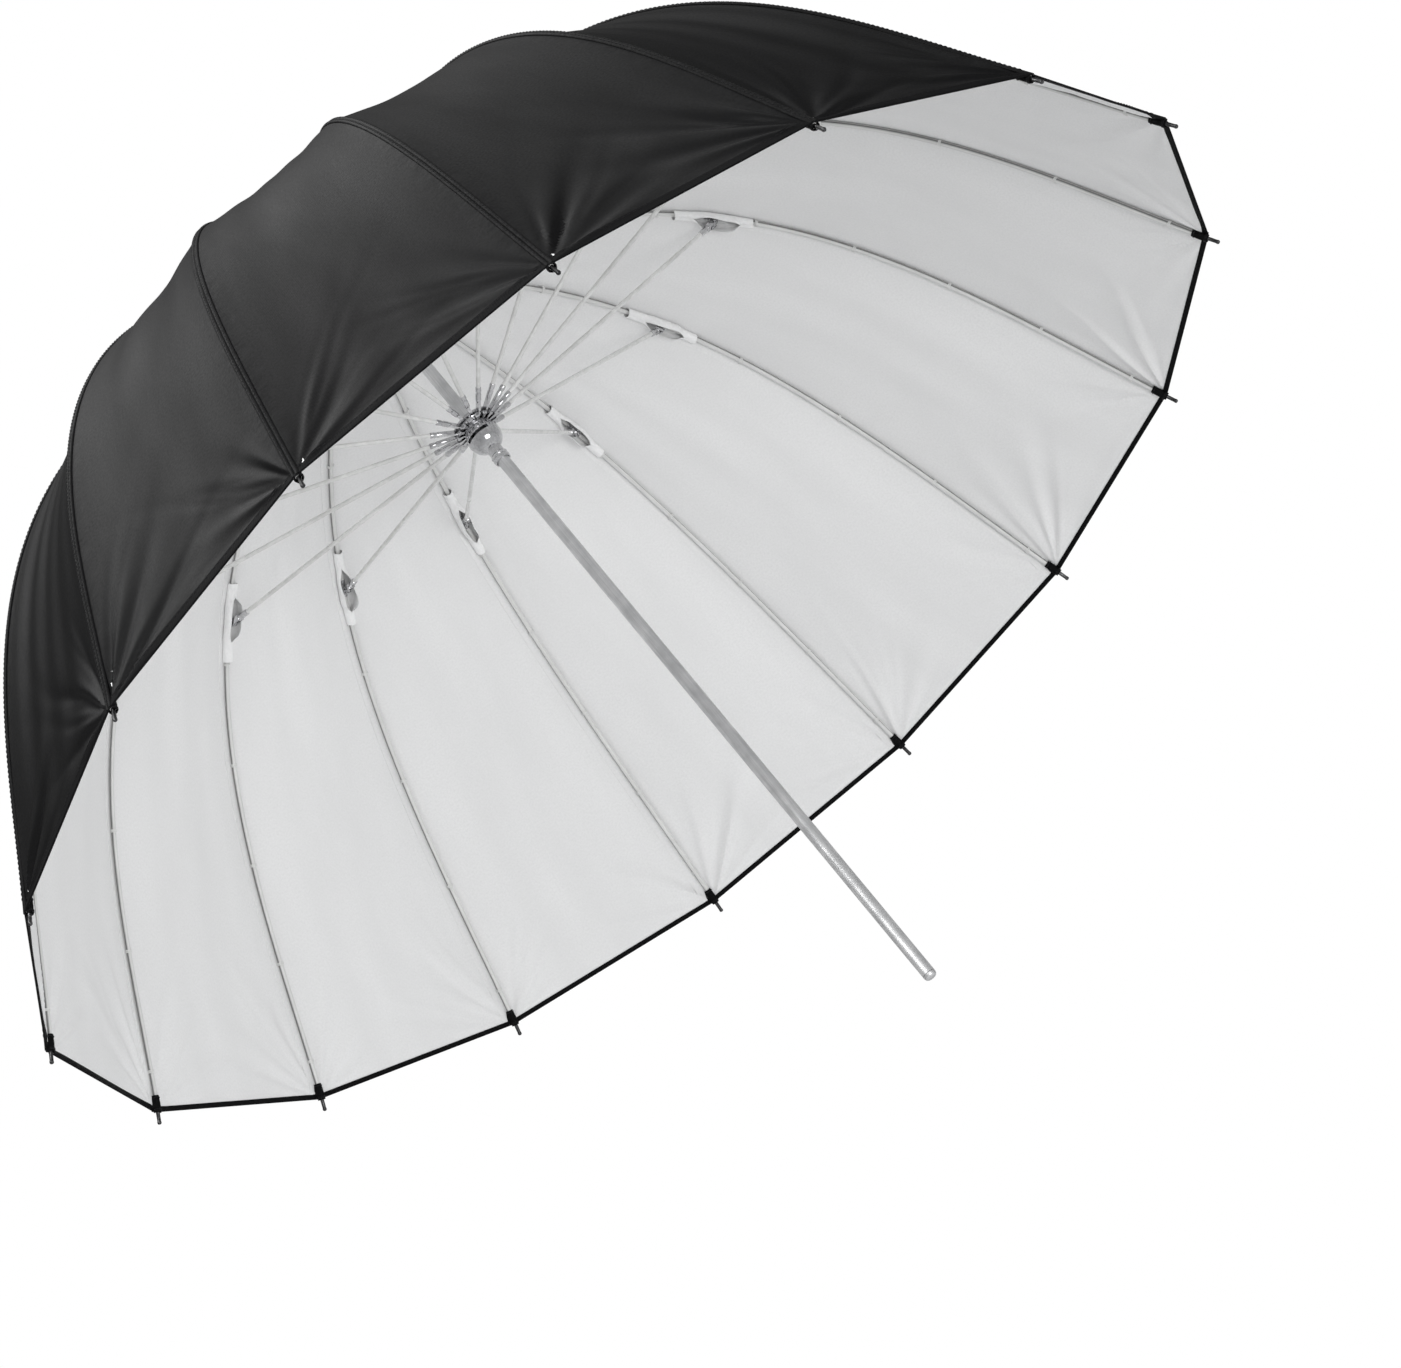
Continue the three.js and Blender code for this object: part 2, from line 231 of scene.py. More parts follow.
def cover(tree, shader, colour, rough, normal=None):
    """Gives a shader its colour, its roughness and its bumps."""
    for socket, value in (("Base Color", colour), ("Roughness", rough), ("Normal", normal)):
        if value is not None:
            tree.links.new(value, shader.inputs[socket])


def shade(tree, factor, dark, light):
    """A colour from dark to light, both (r, g, b), by a 0 to 1 value."""
    mix = node(tree, "ShaderNodeMix", {"Factor": factor}, data_type="RGBA")
    mix.inputs["A"].default_value = (*dark, 1)
    mix.inputs["B"].default_value = (*light, 1)
    return mix.outputs["Result"]


def metal_finish(name, dark, light, smooth, rough, grain, grain_size):
    """Bare metal: drawn or polished along grain, with faint stains and fine scratches."""
    material, tree, shader = new_finish(name, {"Metallic": 1.0})
    place = on_object(tree)
    stretch = node(tree, "ShaderNodeMapping", {"Vector": place, "Scale": grain}).outputs["Vector"]
    lines = noise(tree, stretch, grain_size, 4.0, 0.6)
    worn = between(tree, times(tree, lines, noise(tree, place, 90.0, 3.0)), 0.0, 1.0, 0.15, 0.4)
    colour = shade(tree, worn, dark, light)
    cover(tree, shader, colour, between(tree, worn, rough, smooth), bumped(tree, lines, 0.06, 0.0001))
    return material


satin_steel = metal_finish(
    "satin_drawn_steel", (0.60, 0.605, 0.61), (0.80, 0.80, 0.805), 0.44, 0.54, (1, 1, 0.03), 1500.0
)
outline = [
    (SHAFT_BORE, SHAFT_LOW), (SHAFT_RADIUS, SHAFT_LOW), (SHAFT_RADIUS, SHAFT_HIGH - 0.4),
    (SHAFT_RADIUS - 0.3, SHAFT_HIGH), (SHAFT_BORE, SHAFT_HIGH), (SHAFT_BORE, SHAFT_LOW),
]
shaft = add_piece("shaft_tube", *turned(outline, 64), [satin_steel])
slot_height = CATCH_SLOT_HIGH - CATCH_SLOT_LOW
slot_middle = (CATCH_SLOT_HIGH + CATCH_SLOT_LOW) / 2
along_x = Matrix.Rotation(math.pi / 2, 4, "Y")
along_y = Matrix.Rotation(math.pi / 2, 4, "X")
crown_hole = Matrix.Translation((0, 0, CROWN_PIN_HEIGHT * MM)) @ along_y
catch_hole = Matrix.Translation((0, 0, CATCH_PIN_HEIGHT * MM)) @ along_x
carve(shaft, [
    block((CATCH_SLOT_WIDTH, SHAFT_RADIUS, slot_height), (0, -SHAFT_RADIUS, slot_middle)),
    drill(CROWN_PIN_RADIUS + FIT, 6, crown_hole),
    drill(CATCH_PIN_RADIUS + FIT, 6, catch_hole),
])
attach(shaft, "shaft")
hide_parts("shaft")


# Tail cap
# A rounded steel plug pressed into the shaft's free end, so that the cut tube doesn't scratch the
# stand's holder. It is turned from bar and polished like the shaft.
CAP_TOP = SHAFT_LOW - FIT
CAP_END = -100.0
CAP_FLAT = 2.2
PLUG_LENGTH = 10
plug_top = CAP_TOP + PLUG_LENGTH
outline = [(0, plug_top), (SHAFT_BORE - FIT, plug_top), (SHAFT_BORE - FIT, CAP_TOP)]
for step in range(9):
    turn = math.pi / 2 * step / 8
    radius = CAP_FLAT + (SHAFT_RADIUS - CAP_FLAT) * math.cos(turn)
    outline.append((radius, CAP_TOP + (CAP_END - CAP_TOP) * math.sin(turn)))
outline.append((0, CAP_END))
tail_cap = add_piece("tail_plug", *turned(outline, 64), [satin_steel])
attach(tail_cap, "shaft")
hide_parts("shaft_tail_cap")


# Crown
# The fixed notched disc near the shaft's top: nickel-plated, with sixteen radial slots for the rib
# eyes and a groove round it for the steel wire that they turn on. A cross pin holds its collar.
RIB_COUNT = 16
PITCH = 2 * math.pi / RIB_COUNT
CROWN_HEIGHT = 480.0
CROWN_PIVOT = 11.0
CROWN_RADIUS = 13.6
CROWN_SLOT = 2.6
CROWN_SLOT_FLOOR = 8.2
CROWN_COLLAR_DROP = 12
HEAD_HALF = 3.4
WIRE_RADIUS = 0.6
WIRE_GROOVE = 0.95

plated = metal_finish(
    "nickel_plate", (0.44, 0.44, 0.45), (0.74, 0.74, 0.75), 0.05, 0.15, (1, 1, 1), 700.0
)
wire_steel = metal_finish(
    "spring_wire", (0.36, 0.36, 0.37), (0.62, 0.62, 0.63), 0.2, 0.36, (1, 1, 0.2), 1500.0
)


def notches(pivot_radius, radius, width, floor, height, half):
    """The cutters for sixteen radial slots and for the wire's groove, sizes in mm."""
    depth = radius - floor + 1
    slots = []
    for k in range(RIB_COUNT):
        points, faces = block((depth, width, 2 * half + 2), (floor + depth / 2, 0, height))
        turn = Matrix.Rotation(k * PITCH, 3, "Z")
        slots.append(([tuple(turn @ Vector(p)) for p in points], faces))
    inner = pivot_radius - WIRE_GROOVE
    low, high = height - WIRE_GROOVE, height + WIRE_GROOVE
    groove = [(inner, low), (radius + 1, low), (radius + 1, high), (inner, high), (inner, low)]
    return [joined(slots)[:2], turned(groove, 72)]


def round_section(radius, height, thickness, sides):
    """The closed outline of a round wire or thread that runs round an axis, sizes in mm."""
    section = []
    for step in range(sides + 1):
        turn = 2 * math.pi * (step % sides) / sides
        section.append((radius + thickness * math.cos(turn), height + thickness * math.sin(turn)))
    return section


def wire_ring(name, radius, height):
    """A closed ring of round spring wire."""
    return add_piece(name, *turned(round_section(radius, height, WIRE_RADIUS, 12), 96), [wire_steel])


bore = SHAFT_RADIUS + FIT
low = CROWN_HEIGHT - CROWN_COLLAR_DROP
disc_low = CROWN_HEIGHT - HEAD_HALF
disc_high = CROWN_HEIGHT + HEAD_HALF
outline = [
    (bore, low), (6.6, low), (7, low + 0.4), (7, disc_low - 0.6), (7.6, disc_low),
    (CROWN_RADIUS - 0.5, disc_low), (CROWN_RADIUS, disc_low + 0.5), (CROWN_RADIUS, disc_high - 0.5),
    (CROWN_RADIUS - 0.5, disc_high), (bore, disc_high), (bore, low),
]
crown = add_piece("crown_disc", *turned(outline, 96), [plated])
pin_hole = drill(CROWN_PIN_RADIUS + FIT, 9, crown_hole)
slots = notches(CROWN_PIVOT, CROWN_RADIUS, CROWN_SLOT, CROWN_SLOT_FLOOR, CROWN_HEIGHT, HEAD_HALF)
carve(crown, slots + [pin_hole])
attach(crown, "shaft")
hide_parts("crown")

crown_wire = wire_ring("crown_ring", CROWN_PIVOT, CROWN_HEIGHT)
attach(crown_wire, "shaft")
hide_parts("crown_wire")

head = [(0, -7.6), (0.7, -7.6), (1, -7.3), (1, 7.3), (0.7, 7.6), (0, 7.6)]
crown_pin = add_piece("crown_cross_pin", *turned(head, 24, crown_hole), [satin_steel])
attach(crown_pin, "shaft")
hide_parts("crown_pin")


# Runner
# The plated slider: a notched flange for the sixteen stretchers, a ball with a slot across it for
# the catch, a tapering neck and a rolled collar to pull on. It slides on the shaft.
RUNNER_HEIGHT = 354.0
RUNNER_PIVOT = 12.0
RUNNER_RADIUS = 14.2
RUNNER_HALF = 3.2
RUNNER_SLOT = 2.5
RUNNER_SLOT_FLOOR = 9.2
BALL_RADIUS = 11.0
BALL_HEIGHT = 343.8
BALL_END = -1.12
COLLAR_LOW = 323.5
WIDE_BORE = 6.4
SHOULDER = 342.4
WINDOW_LOW = 343.3
WINDOW_HIGH = 345.5
WINDOW_WIDTH = 16.0
WINDOW_DEPTH = 3

flange_low = RUNNER_HEIGHT - RUNNER_HALF
flange_high = RUNNER_HEIGHT + RUNNER_HALF
ball_start = math.asin((flange_low - BALL_HEIGHT) / BALL_RADIUS)
ball = []
for step in range(19):
    turn = ball_start + (BALL_END - ball_start) * step / 18
    ball.append((BALL_RADIUS * math.cos(turn), BALL_HEIGHT + BALL_RADIUS * math.sin(turn)))
outline = [
    (WIDE_BORE, SHOULDER), (WIDE_BORE, flange_high), (RUNNER_RADIUS - 1.6, flange_high),
    (RUNNER_RADIUS - 0.4, flange_high - 0.6), (RUNNER_RADIUS, flange_high - 1.1),
    (RUNNER_RADIUS, flange_low + 0.5), (RUNNER_RADIUS - 0.5, flange_low), *ball,
    (4.85, 331.8), (4.75, 329.6), (4.9, 328.8), (5.35, 328.5), (5.6, 328.0), (5.4, 327.4),
    (5.0, 327.1), (5.0, 326.6), (5.4, 326.2), (5.6, 325.6), (5.45, 324.4), (5.1, COLLAR_LOW),
    (bore + 0.3, COLLAR_LOW), (bore, COLLAR_LOW + 0.4), (bore, SHOULDER), (WIDE_BORE, SHOULDER),
]
runner = add_piece("runner_body", *turned(outline, 96), [plated])
window_middle = (0, -BALL_RADIUS / 2 - WINDOW_DEPTH, (WINDOW_HIGH + WINDOW_LOW) / 2)
window = block((WINDOW_WIDTH, BALL_RADIUS, WINDOW_HIGH - WINDOW_LOW), window_middle)
slots = notches(
    RUNNER_PIVOT, RUNNER_RADIUS, RUNNER_SLOT, RUNNER_SLOT_FLOOR, RUNNER_HEIGHT, RUNNER_HALF
)
carve(runner, slots + [window])
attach(runner, "runner")
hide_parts("runner")

runner_wire = wire_ring("runner_ring", RUNNER_PIVOT, RUNNER_HEIGHT)
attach(runner_wire, "runner")
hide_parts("runner_wire")


# Catch
# A flat spring on a pin inside the shaft, whose nose stands out through the slot and holds the
# runner up. It is stamped from spring steel and left bright.
for name in ("catch_spring", "catch_pin"):
    frame["nodes"][name].data.materials.clear()
    frame["nodes"][name].data.materials.append(wire_steel)


# Ribs
# Sixteen grey fibreglass rods, fluted along both flanks. Each has a steel eye in the crown, a steel
# saddle with a pin for its stretcher about half-way, and a steel end that the cloth's corner is tied to.
RIB_RADIUS = 1.7
ROD_START = 8.0
TIP_LENGTH = 9.0
JOINT_ARC = 241.5
JOINT_DROP = 5.0
EYE_RADIUS = 2.3
RIB_CONTROL = np.array([(11.0, 480.0), (299.0, 502.5), (355.0, 300.5), (425.0, 169.0)])

curve_share = np.linspace(0, 1, 4001)[:, None]
rib_line = (
    (1 - curve_share) ** 3 * RIB_CONTROL[0]
    + 3 * (1 - curve_share) ** 2 * curve_share * RIB_CONTROL[1]
    + 3 * (1 - curve_share) * curve_share ** 2 * RIB_CONTROL[2]
    + curve_share ** 3 * RIB_CONTROL[3]
)
rib_arc = np.concatenate([[0], np.cumsum(np.linalg.norm(np.diff(rib_line, axis=0), axis=1))])
RIB_LENGTH = rib_arc[-1]


def rib_frame(arc):
    """At an arc length in mm along a rib: its point, direction and outer side, as (radius, height)."""
    arc = np.asarray(arc, float)
    inside = np.clip(arc, 0, RIB_LENGTH)
    point = np.stack([np.interp(inside, rib_arc, rib_line[:, i]) for i in (0, 1)], -1)
    ends = [np.clip(inside + step, 0, RIB_LENGTH) for step in (-0.5, 0.5)]
    step = np.stack([
        np.interp(ends[1], rib_arc, rib_line[:, i]) - np.interp(ends[0], rib_arc, rib_line[:, i])
        for i in (0, 1)
    ], -1)
    along = step / np.linalg.norm(step, axis=-1, keepdims=True)
    out = np.stack([-along[..., 1], along[..., 0]], -1)
    return point + along * (arc - inside)[..., None], along, out


def rib_point(arc, side, lift, turn=0.0):
    """A point in metres beside a rib: arc along it, side across it and lift above it, all in mm."""
    point, _, out = rib_frame(arc)
    flat = point + out * np.asarray(lift, float)[..., None]
    side = np.broadcast_to(np.asarray(side, float), flat.shape[:-1])
    c, s = math.cos(turn), math.sin(turn)
    x, y = flat[..., 0], side
    return np.stack([c * x - s * y, s * x + c * y, flat[..., 1]], -1) * MM


def new_tree(name, sizes):
    """A Geometry Nodes tree with one named input for each size, and its input node."""
    tree = bpy.data.node_groups.new(name, "GeometryNodeTree")
    tree.interface.new_socket("Path", in_out="INPUT", socket_type="NodeSocketGeometry")
    for label, value in sizes.items():
        kind = "NodeSocketInt" if isinstance(value, int) else "NodeSocketFloat"
        tree.interface.new_socket(label, in_out="INPUT", socket_type=kind).default_value = value
    tree.interface.new_socket("Piece", in_out="OUTPUT", socket_type="NodeSocketGeometry")
    return tree, tree.nodes.new("NodeGroupInput").outputs


def end_tree(tree, geometry, turn, material):
    """Turns the geometry round the shaft, makes it real and gives it its material."""
    angle = node(tree, "ShaderNodeCombineXYZ", {"Z": turn})
    turned_round = node(
        tree, "GeometryNodeTransform", {"Geometry": geometry, "Rotation": angle.outputs["Vector"]}
    )
    real = node(tree, "GeometryNodeRealizeInstances", {"Geometry": turned_round.outputs["Geometry"]})
    dressed = node(
        tree, "GeometryNodeSetMaterial", {"Geometry": real.outputs["Geometry"], "Material": material}
    )
    node(tree, "NodeGroupOutput", {"Piece": dressed.outputs["Geometry"]})


def grown(tree, points, sizes):
    """The plain mesh that a tree grows along a path of points in metres, with these sizes."""
    line = bpy.data.meshes.new("path")
    links = [(i, i + 1) for i in range(len(points) - 1)]
    line.from_pydata(np.asarray(points, float).tolist(), links, [])
    path = bpy.data.objects.new("path", line)
    bpy.context.collection.objects.link(path)
    grower = path.modifiers.new(tree.name, "NODES")
    grower.node_group = tree
    for item in tree.interface.items_tree:
        if item.item_type == "SOCKET" and item.in_out == "INPUT" and item.name in sizes:
            grower[item.identifier] = sizes[item.name]
    bpy.context.view_layer.update()
    graph = bpy.context.evaluated_depsgraph_get()
    mesh = bpy.data.meshes.new_from_object(path.evaluated_get(graph), depsgraph=graph)
    bpy.data.objects.remove(path)
    bpy.data.meshes.remove(line)
    return mesh


def piece_from(name, meshes, materials):
    """One piece from several plain meshes, whose faces keep their materials."""
    whole = bmesh.new()
    for mesh in meshes:
        own = [materials.index(m) if m else 0 for m in mesh.materials]
        before = len(whole.faces)
        whole.from_mesh(mesh)
        whole.faces.ensure_lookup_table()
        for face in whole.faces[before:]:
            face.material_index = own[face.material_index] if own else 0
    mesh = bpy.data.meshes.new(name)
    for material in materials:
        mesh.materials.append(material)
    whole.to_mesh(mesh)
    whole.free()
    soften(mesh)
    piece = bpy.data.objects.new(name, mesh)
    bpy.context.collection.objects.link(piece)
    return piece


def steel_mesh(shapes, material):
    """Small steel parts of one piece as a plain mesh."""
    points, faces, _ = joined(shapes)
    piece = add_piece("steel", points, faces, [material])
    mesh = piece.data
    bpy.data.objects.remove(piece)
    return mesh


# the rod: pulled fibreglass, pale along its face, with painted shade darkening its two flutes
fibreglass, tree, shader = new_finish("pulled_fibreglass", {"Coat Weight": 0.25, "Coat Roughness": 0.2})
place = on_object(tree)
fibres = noise(tree, place, 900.0, 5.0)
flute = node(tree, "ShaderNodeAttribute", attribute_name="flute").outputs["Fac"]
pale = shade(tree, noise(tree, place, 45.0, 2.0), (0.60, 0.60, 0.59), (0.80, 0.80, 0.79))
# painted shade: the flute mask darkens the rod's colour to near black where shade falls in the flutes
painted_flute_shade = node(tree, "ShaderNodeMix", {"Factor": between(tree, flute, 0.0, 0.95)}, data_type="RGBA")
tree.links.new(pale, painted_flute_shade.inputs["A"])
painted_flute_shade.inputs["B"].default_value = (0.08, 0.08, 0.08, 1)
rough = between(tree, fibres, 0.28, 0.5)
cover(tree, shader, painted_flute_shade.outputs["Result"], rough, bumped(tree, fibres, 0.15, 0.0001))

rod_tree, sizes = new_tree("fluted_rod", {"Radius": 0.0017, "Sides": 20, "Flute": 0.1, "Turn": 0.0})
spine = node(rod_tree, "GeometryNodeMeshToCurve", {"Mesh": sizes["Path"]})
upright = node(
    rod_tree, "GeometryNodeSetCurveNormal",
    {"Curve": spine.outputs["Curve"], "Normal": (0.0, 1.0, 0.0)},
    mode="FREE",
)
circle = node(
    rod_tree, "GeometryNodeCurvePrimitiveCircle", {"Resolution": sizes["Sides"], "Radius": sizes["Radius"]}
)
where = node(rod_tree, "GeometryNodeInputPosition").outputs["Position"]
axes = node(rod_tree, "ShaderNodeSeparateXYZ", {"Vector": where})
value = node(rod_tree, "ShaderNodeMath", {0: axes.outputs["Y"], 1: axes.outputs["X"]}, operation="ARCTAN2")
for operation, number in (("MULTIPLY", 2.0), ("COSINE", 0.0), ("MAXIMUM", 0.0), ("POWER", 1.7)):
    value = node(rod_tree, "ShaderNodeMath", {0: value.outputs["Value"], 1: number}, operation=operation)
# the flute mask shapes the flutes, and the rod's material also reads it to paint shade into them
marked = node(
    rod_tree, "GeometryNodeStoreNamedAttribute",
    {"Geometry": circle.outputs["Curve"], "Name": "flute", "Value": value.outputs["Value"]},
    data_type="FLOAT", domain="POINT",
)
cut = times(rod_tree, value.outputs["Value"], sizes["Flute"])
left = node(rod_tree, "ShaderNodeMath", {0: 1.0, 1: cut}, operation="SUBTRACT")
moved = node(rod_tree, "ShaderNodeVectorMath", {0: where, "Scale": left.outputs["Value"]}, operation="SCALE")
section = node(
    rod_tree, "GeometryNodeSetPosition",
    {"Geometry": marked.outputs["Geometry"], "Position": moved.outputs["Vector"]},
)
rod = node(
    rod_tree, "GeometryNodeCurveToMesh",
    {"Curve": upright.outputs["Curve"], "Profile Curve": section.outputs["Geometry"], "Fill Caps": True},
)
end_tree(rod_tree, rod.outputs["Mesh"], sizes["Turn"], fibreglass)


def across(spot, direction):
    """A Matrix whose Z axis lies along a direction in the XZ plane, at a spot there; both in mm."""
    z = Vector((direction[0], 0, direction[1])).normalized()
    y = Vector((0, 1, 0))
    x = y.cross(z)
    matrix = Matrix((x, y, z)).transposed().to_4x4()
    matrix.translation = Vector((spot[0], 0, spot[1])) * MM
    return matrix


def eye_ring(inner, outer, half, spot, steps=24):
    """A flat ring on the Y axis at a spot in the XZ plane, sizes in mm."""
    edge = 0.25
    outline = [
        (inner, -half), (outer - edge, -half), (outer, -half + edge), (outer, half - edge),
        (outer - edge, half), (inner, half), (inner, -half),
    ]
    return turned(outline, steps, Matrix.Translation((spot[0] * MM, 0, spot[1] * MM)) @ along_y)


def bar(start, end, half_width, half):
    """A flat bar between two spots in the XZ plane, sizes in mm."""
    (x0, z0), (x1, z1) = start, end
    length = math.hypot(x1 - x0, z1 - z0)
    ux, uz = (x1 - x0) / length, (z1 - z0) / length
    corners = [(x0, z0, 1), (x0, z0, -1), (x1, z1, -1), (x1, z1, 1)]
    outline = [(x - side * uz * half_width, z + side * ux * half_width) for x, z, side in corners]
    return prism(outline, half, Matrix.Identity(4))


joint_spot, joint_along, joint_out = rib_frame(JOINT_ARC)
joint_pin = joint_spot - joint_out * JOINT_DROP
_, rod_start_along, _ = rib_frame(ROD_START)
tip_spot, tip_along, _ = rib_frame(RIB_LENGTH)
crown_spot = (CROWN_PIVOT, CROWN_HEIGHT)
SADDLE_HALF = 6.0
saddle = [
    (RIB_RADIUS, -SADDLE_HALF), (1.93, -SADDLE_HALF), (1.93, -2.5), (1.8, -2.2), (1.93, -1.9),
    (1.93, 1.9), (1.8, 2.2), (1.93, 2.5), (1.93, SADDLE_HALF), (RIB_RADIUS, SADDLE_HALF),
    (RIB_RADIUS, -SADDLE_HALF),
]
rivet = [
    (0, -3.3), (0.9, -3.3), (1.4, -3.05), (1.4, -2.6), (1, -2.55), (1, 2.55), (1.4, 2.6), (1.4, 3.05),
    (0.9, 3.3), (0, 3.3),
]
needle = [
    (0, -14), (1.5, -14), (1.6, -13.4), (1.6, -9.4), (1.25, -8.8), (1.15, -2.2), (1.3, -1.6),
    (1.3, -0.9), (0.9, -0.25), (0, 0),
]
rib_steel = steel_mesh([
    eye_ring(WIRE_GROOVE - 0.2, EYE_RADIUS, 0.95, crown_spot),
    bar(crown_spot + 1.6 * rod_start_along, crown_spot + 9.5 * rod_start_along, 1.45, 0.9),
    turned(saddle, 20, across(joint_spot, joint_along)),
    bar(joint_spot - joint_out * 1.2, joint_pin + joint_out * 1.2, 2.1, 0.75),
    eye_ring(0.6, 2.4, 0.8, joint_pin),
    turned(rivet, 18, Matrix.Translation((joint_pin[0] * MM, 0, joint_pin[1] * MM)) @ along_y),
], plated)
tip_steel = metal_finish(
    "dark_tip_steel", (0.035, 0.035, 0.036), (0.14, 0.14, 0.142), 0.22, 0.4, (1, 1, 1), 900.0
)
tip_mesh = steel_mesh([turned(needle, 18, across(tip_spot, tip_along))], tip_steel)

rod_arcs = np.linspace(ROD_START, RIB_LENGTH - TIP_LENGTH, 90)
rod_path = rib_point(rod_arcs, 0.0, np.zeros(len(rod_arcs)))
for k in range(RIB_COUNT):
    number = f"{k + 1:02d}"
    rod_sizes = {"Radius": RIB_RADIUS * MM, "Sides": 24, "Flute": 0.2, "Turn": k * PITCH}
    rod_mesh = grown(rod_tree, rod_path, rod_sizes)
    fittings, tip = rib_steel.copy(), tip_mesh.copy()
    for mesh in (fittings, tip):
        mesh.transform(Matrix.Rotation(k * PITCH, 4, "Z"))
    rib = piece_from(f"rib_rod_{number}", [rod_mesh, fittings, tip], [fibreglass, plated, tip_steel])
    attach(rib, f"rib_{number}")
    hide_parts(f"rib_{number}")


# Stretchers
# Sixteen thin white-coated rods that push the ribs out. Each has a steel fork on the rib's pin and a
# crimped, flattened steel end that turns on the runner's wire.
ROD_RADIUS = 1.35
white_coat, tree, shader = new_finish("white_coated_rod", {"Coat Weight": 0.3, "Coat Roughness": 0.15})
place = on_object(tree)
marks = noise(tree, place, 260.0, 4.0)
worn = between(tree, times(tree, marks, noise(tree, place, 30.0, 2.0)), 0.0, 1.0, 0.12, 0.4)
colour = shade(tree, worn, (0.62, 0.62, 0.61), (0.80, 0.80, 0.79))
cover(tree, shader, colour, between(tree, worn, 0.42, 0.25), bumped(tree, marks, 0.1, 0.0001))

coat_tree, sizes = new_tree("coated_rod", {"Radius": 0.00135, "Sides": 16, "Turn": 0.0})
spine = node(coat_tree, "GeometryNodeMeshToCurve", {"Mesh": sizes["Path"]})
circle = node(
    coat_tree, "GeometryNodeCurvePrimitiveCircle", {"Resolution": sizes["Sides"], "Radius": sizes["Radius"]}
)
rod = node(
    coat_tree, "GeometryNodeCurveToMesh",
    {"Curve": spine.outputs["Curve"], "Profile Curve": circle.outputs["Curve"], "Fill Caps": True},
)
end_tree(coat_tree, rod.outputs["Mesh"], sizes["Turn"], white_coat)

runner_spot = np.array((RUNNER_PIVOT, RUNNER_HEIGHT))
reach = runner_spot - joint_pin
reach_length = np.linalg.norm(reach)
reach_along = reach / reach_length


def on_stretcher(distance):
    """The spot in the XZ plane at a distance in mm from the rib's pin, towards the runner."""
    return joint_pin + reach_along * distance


ferrule_shape = [
    (0, 5.6), (1.7, 5.6), (2.0, 6.0), (2.0, 8.6), (1.85, 8.9), (1.85, 9.3), (2.0, 9.6), (2.0, 14.4),
    (1.8, 15), (ROD_RADIUS, 15.2), (0, 15.2),
]
crimp_low = reach_length - 18.5
crimp_shape = [
    (0, crimp_low), (1.55, crimp_low), (1.75, crimp_low + 0.4), (1.75, crimp_low + 3),
    (1.5, crimp_low + 3.6), (1.5, crimp_low + 4.4), (1.75, crimp_low + 5), (1.7, crimp_low + 9),
    (1.05, crimp_low + 11), (0, crimp_low + 11),
]
stretcher_place = across(joint_pin, reach_along)
ear_shapes = []
for side in (-1, 1):
    shift = Matrix.Translation((0, side * 1.75 * MM, 0))
    for points, faces in (
        eye_ring(1.05, 2.4, 0.55, joint_pin),
        bar(on_stretcher(1.7), on_stretcher(7.4), 1.85, 0.55),
    ):
        ear_shapes.append(([tuple(shift @ Vector(p)) for p in points], faces))
stretcher_steel = steel_mesh(ear_shapes + [
    turned(ferrule_shape, 18, stretcher_place),
    turned(crimp_shape, 18, stretcher_place),
    bar(on_stretcher(reach_length - 11), on_stretcher(reach_length - 1.2), 1.5, 0.8),
    eye_ring(0.7, 1.75, 0.8, runner_spot),
], plated)

rod_distances = np.linspace(14.8, reach_length - 17, 6)
spots = np.array([on_stretcher(d) for d in rod_distances])
coat_path = np.stack([spots[:, 0], 0 * spots[:, 0], spots[:, 1]], -1) * MM
for k in range(RIB_COUNT):
    number = f"{k + 1:02d}"
    rod_mesh = grown(coat_tree, coat_path, {"Radius": ROD_RADIUS * MM, "Sides": 16, "Turn": k * PITCH})
    fittings = stretcher_steel.copy()
    fittings.transform(Matrix.Rotation(k * PITCH, 4, "Z"))
    stretcher = piece_from(f"stretcher_rod_{number}", [rod_mesh, fittings], [white_coat, plated])
    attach(stretcher, f"stretcher_{number}")
    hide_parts(f"stretcher_{number}")


# Canopy panels
# Sixteen gores of black satin nylon lined with white, each stretched from one rib to the next. The
# cloth is straight across at the hem, a little hollow between the ribs, and creased at its corners.
PANEL_START = ROD_START
PANEL_END = RIB_LENGTH - TIP_LENGTH
LINING_LIFT = 2.05
FACE_LIFT = 2.6
DISH = 0.016
PANEL_ROWS = 140
PANEL_COLUMNS = 84


def on_cloth(tree):
    """The place on a cloth piece in metres, along and across its threads."""
    return node(tree, "ShaderNodeUVMap", uv_map="cloth").outputs["UV"]


def cloth_finish(name, dark, light, constants, rough, weave_depth, pucker_depth):
    """Woven cloth on its own UV map in metres, puckered beside the seams and the hem."""
    material, tree, shader = new_finish(name, constants)
    thread = on_cloth(tree)
    bands = {"Vector": thread, "Scale": 320.0}
    warp, weft = (
        node(tree, "ShaderNodeTexWave", bands, bands_direction=way).outputs["Fac"] for way in "XY"
    )
    drawn = node(tree, "ShaderNodeMapping", {"Vector": thread, "Scale": (1.0, 0.22, 1.0)}).outputs["Vector"]
    soft = noise(tree, drawn, 26.0, 3.0)
    seam = node(tree, "ShaderNodeAttribute", attribute_name="seam_distance").outputs["Fac"]
    gathers = times(tree, between(tree, seam, 1.0, 0.0, 0.001, 0.014), noise(tree, thread, 95.0, 3.0))
    tone = between(tree, times(tree, soft, noise(tree, thread, 700.0, 2.0)), 0.0, 1.0, 0.12, 0.4)
    normal = bumped(tree, times(tree, warp, weft), weave_depth, 0.0001)
    normal = bumped(tree, soft, 0.18, 0.003, normal)
    normal = bumped(tree, gathers, pucker_depth, 0.0012, normal)
    colour = shade(tree, tone, dark, light)
    cover(tree, shader, colour, between(tree, tone, rough + 0.06, rough - 0.06), normal)
    return material


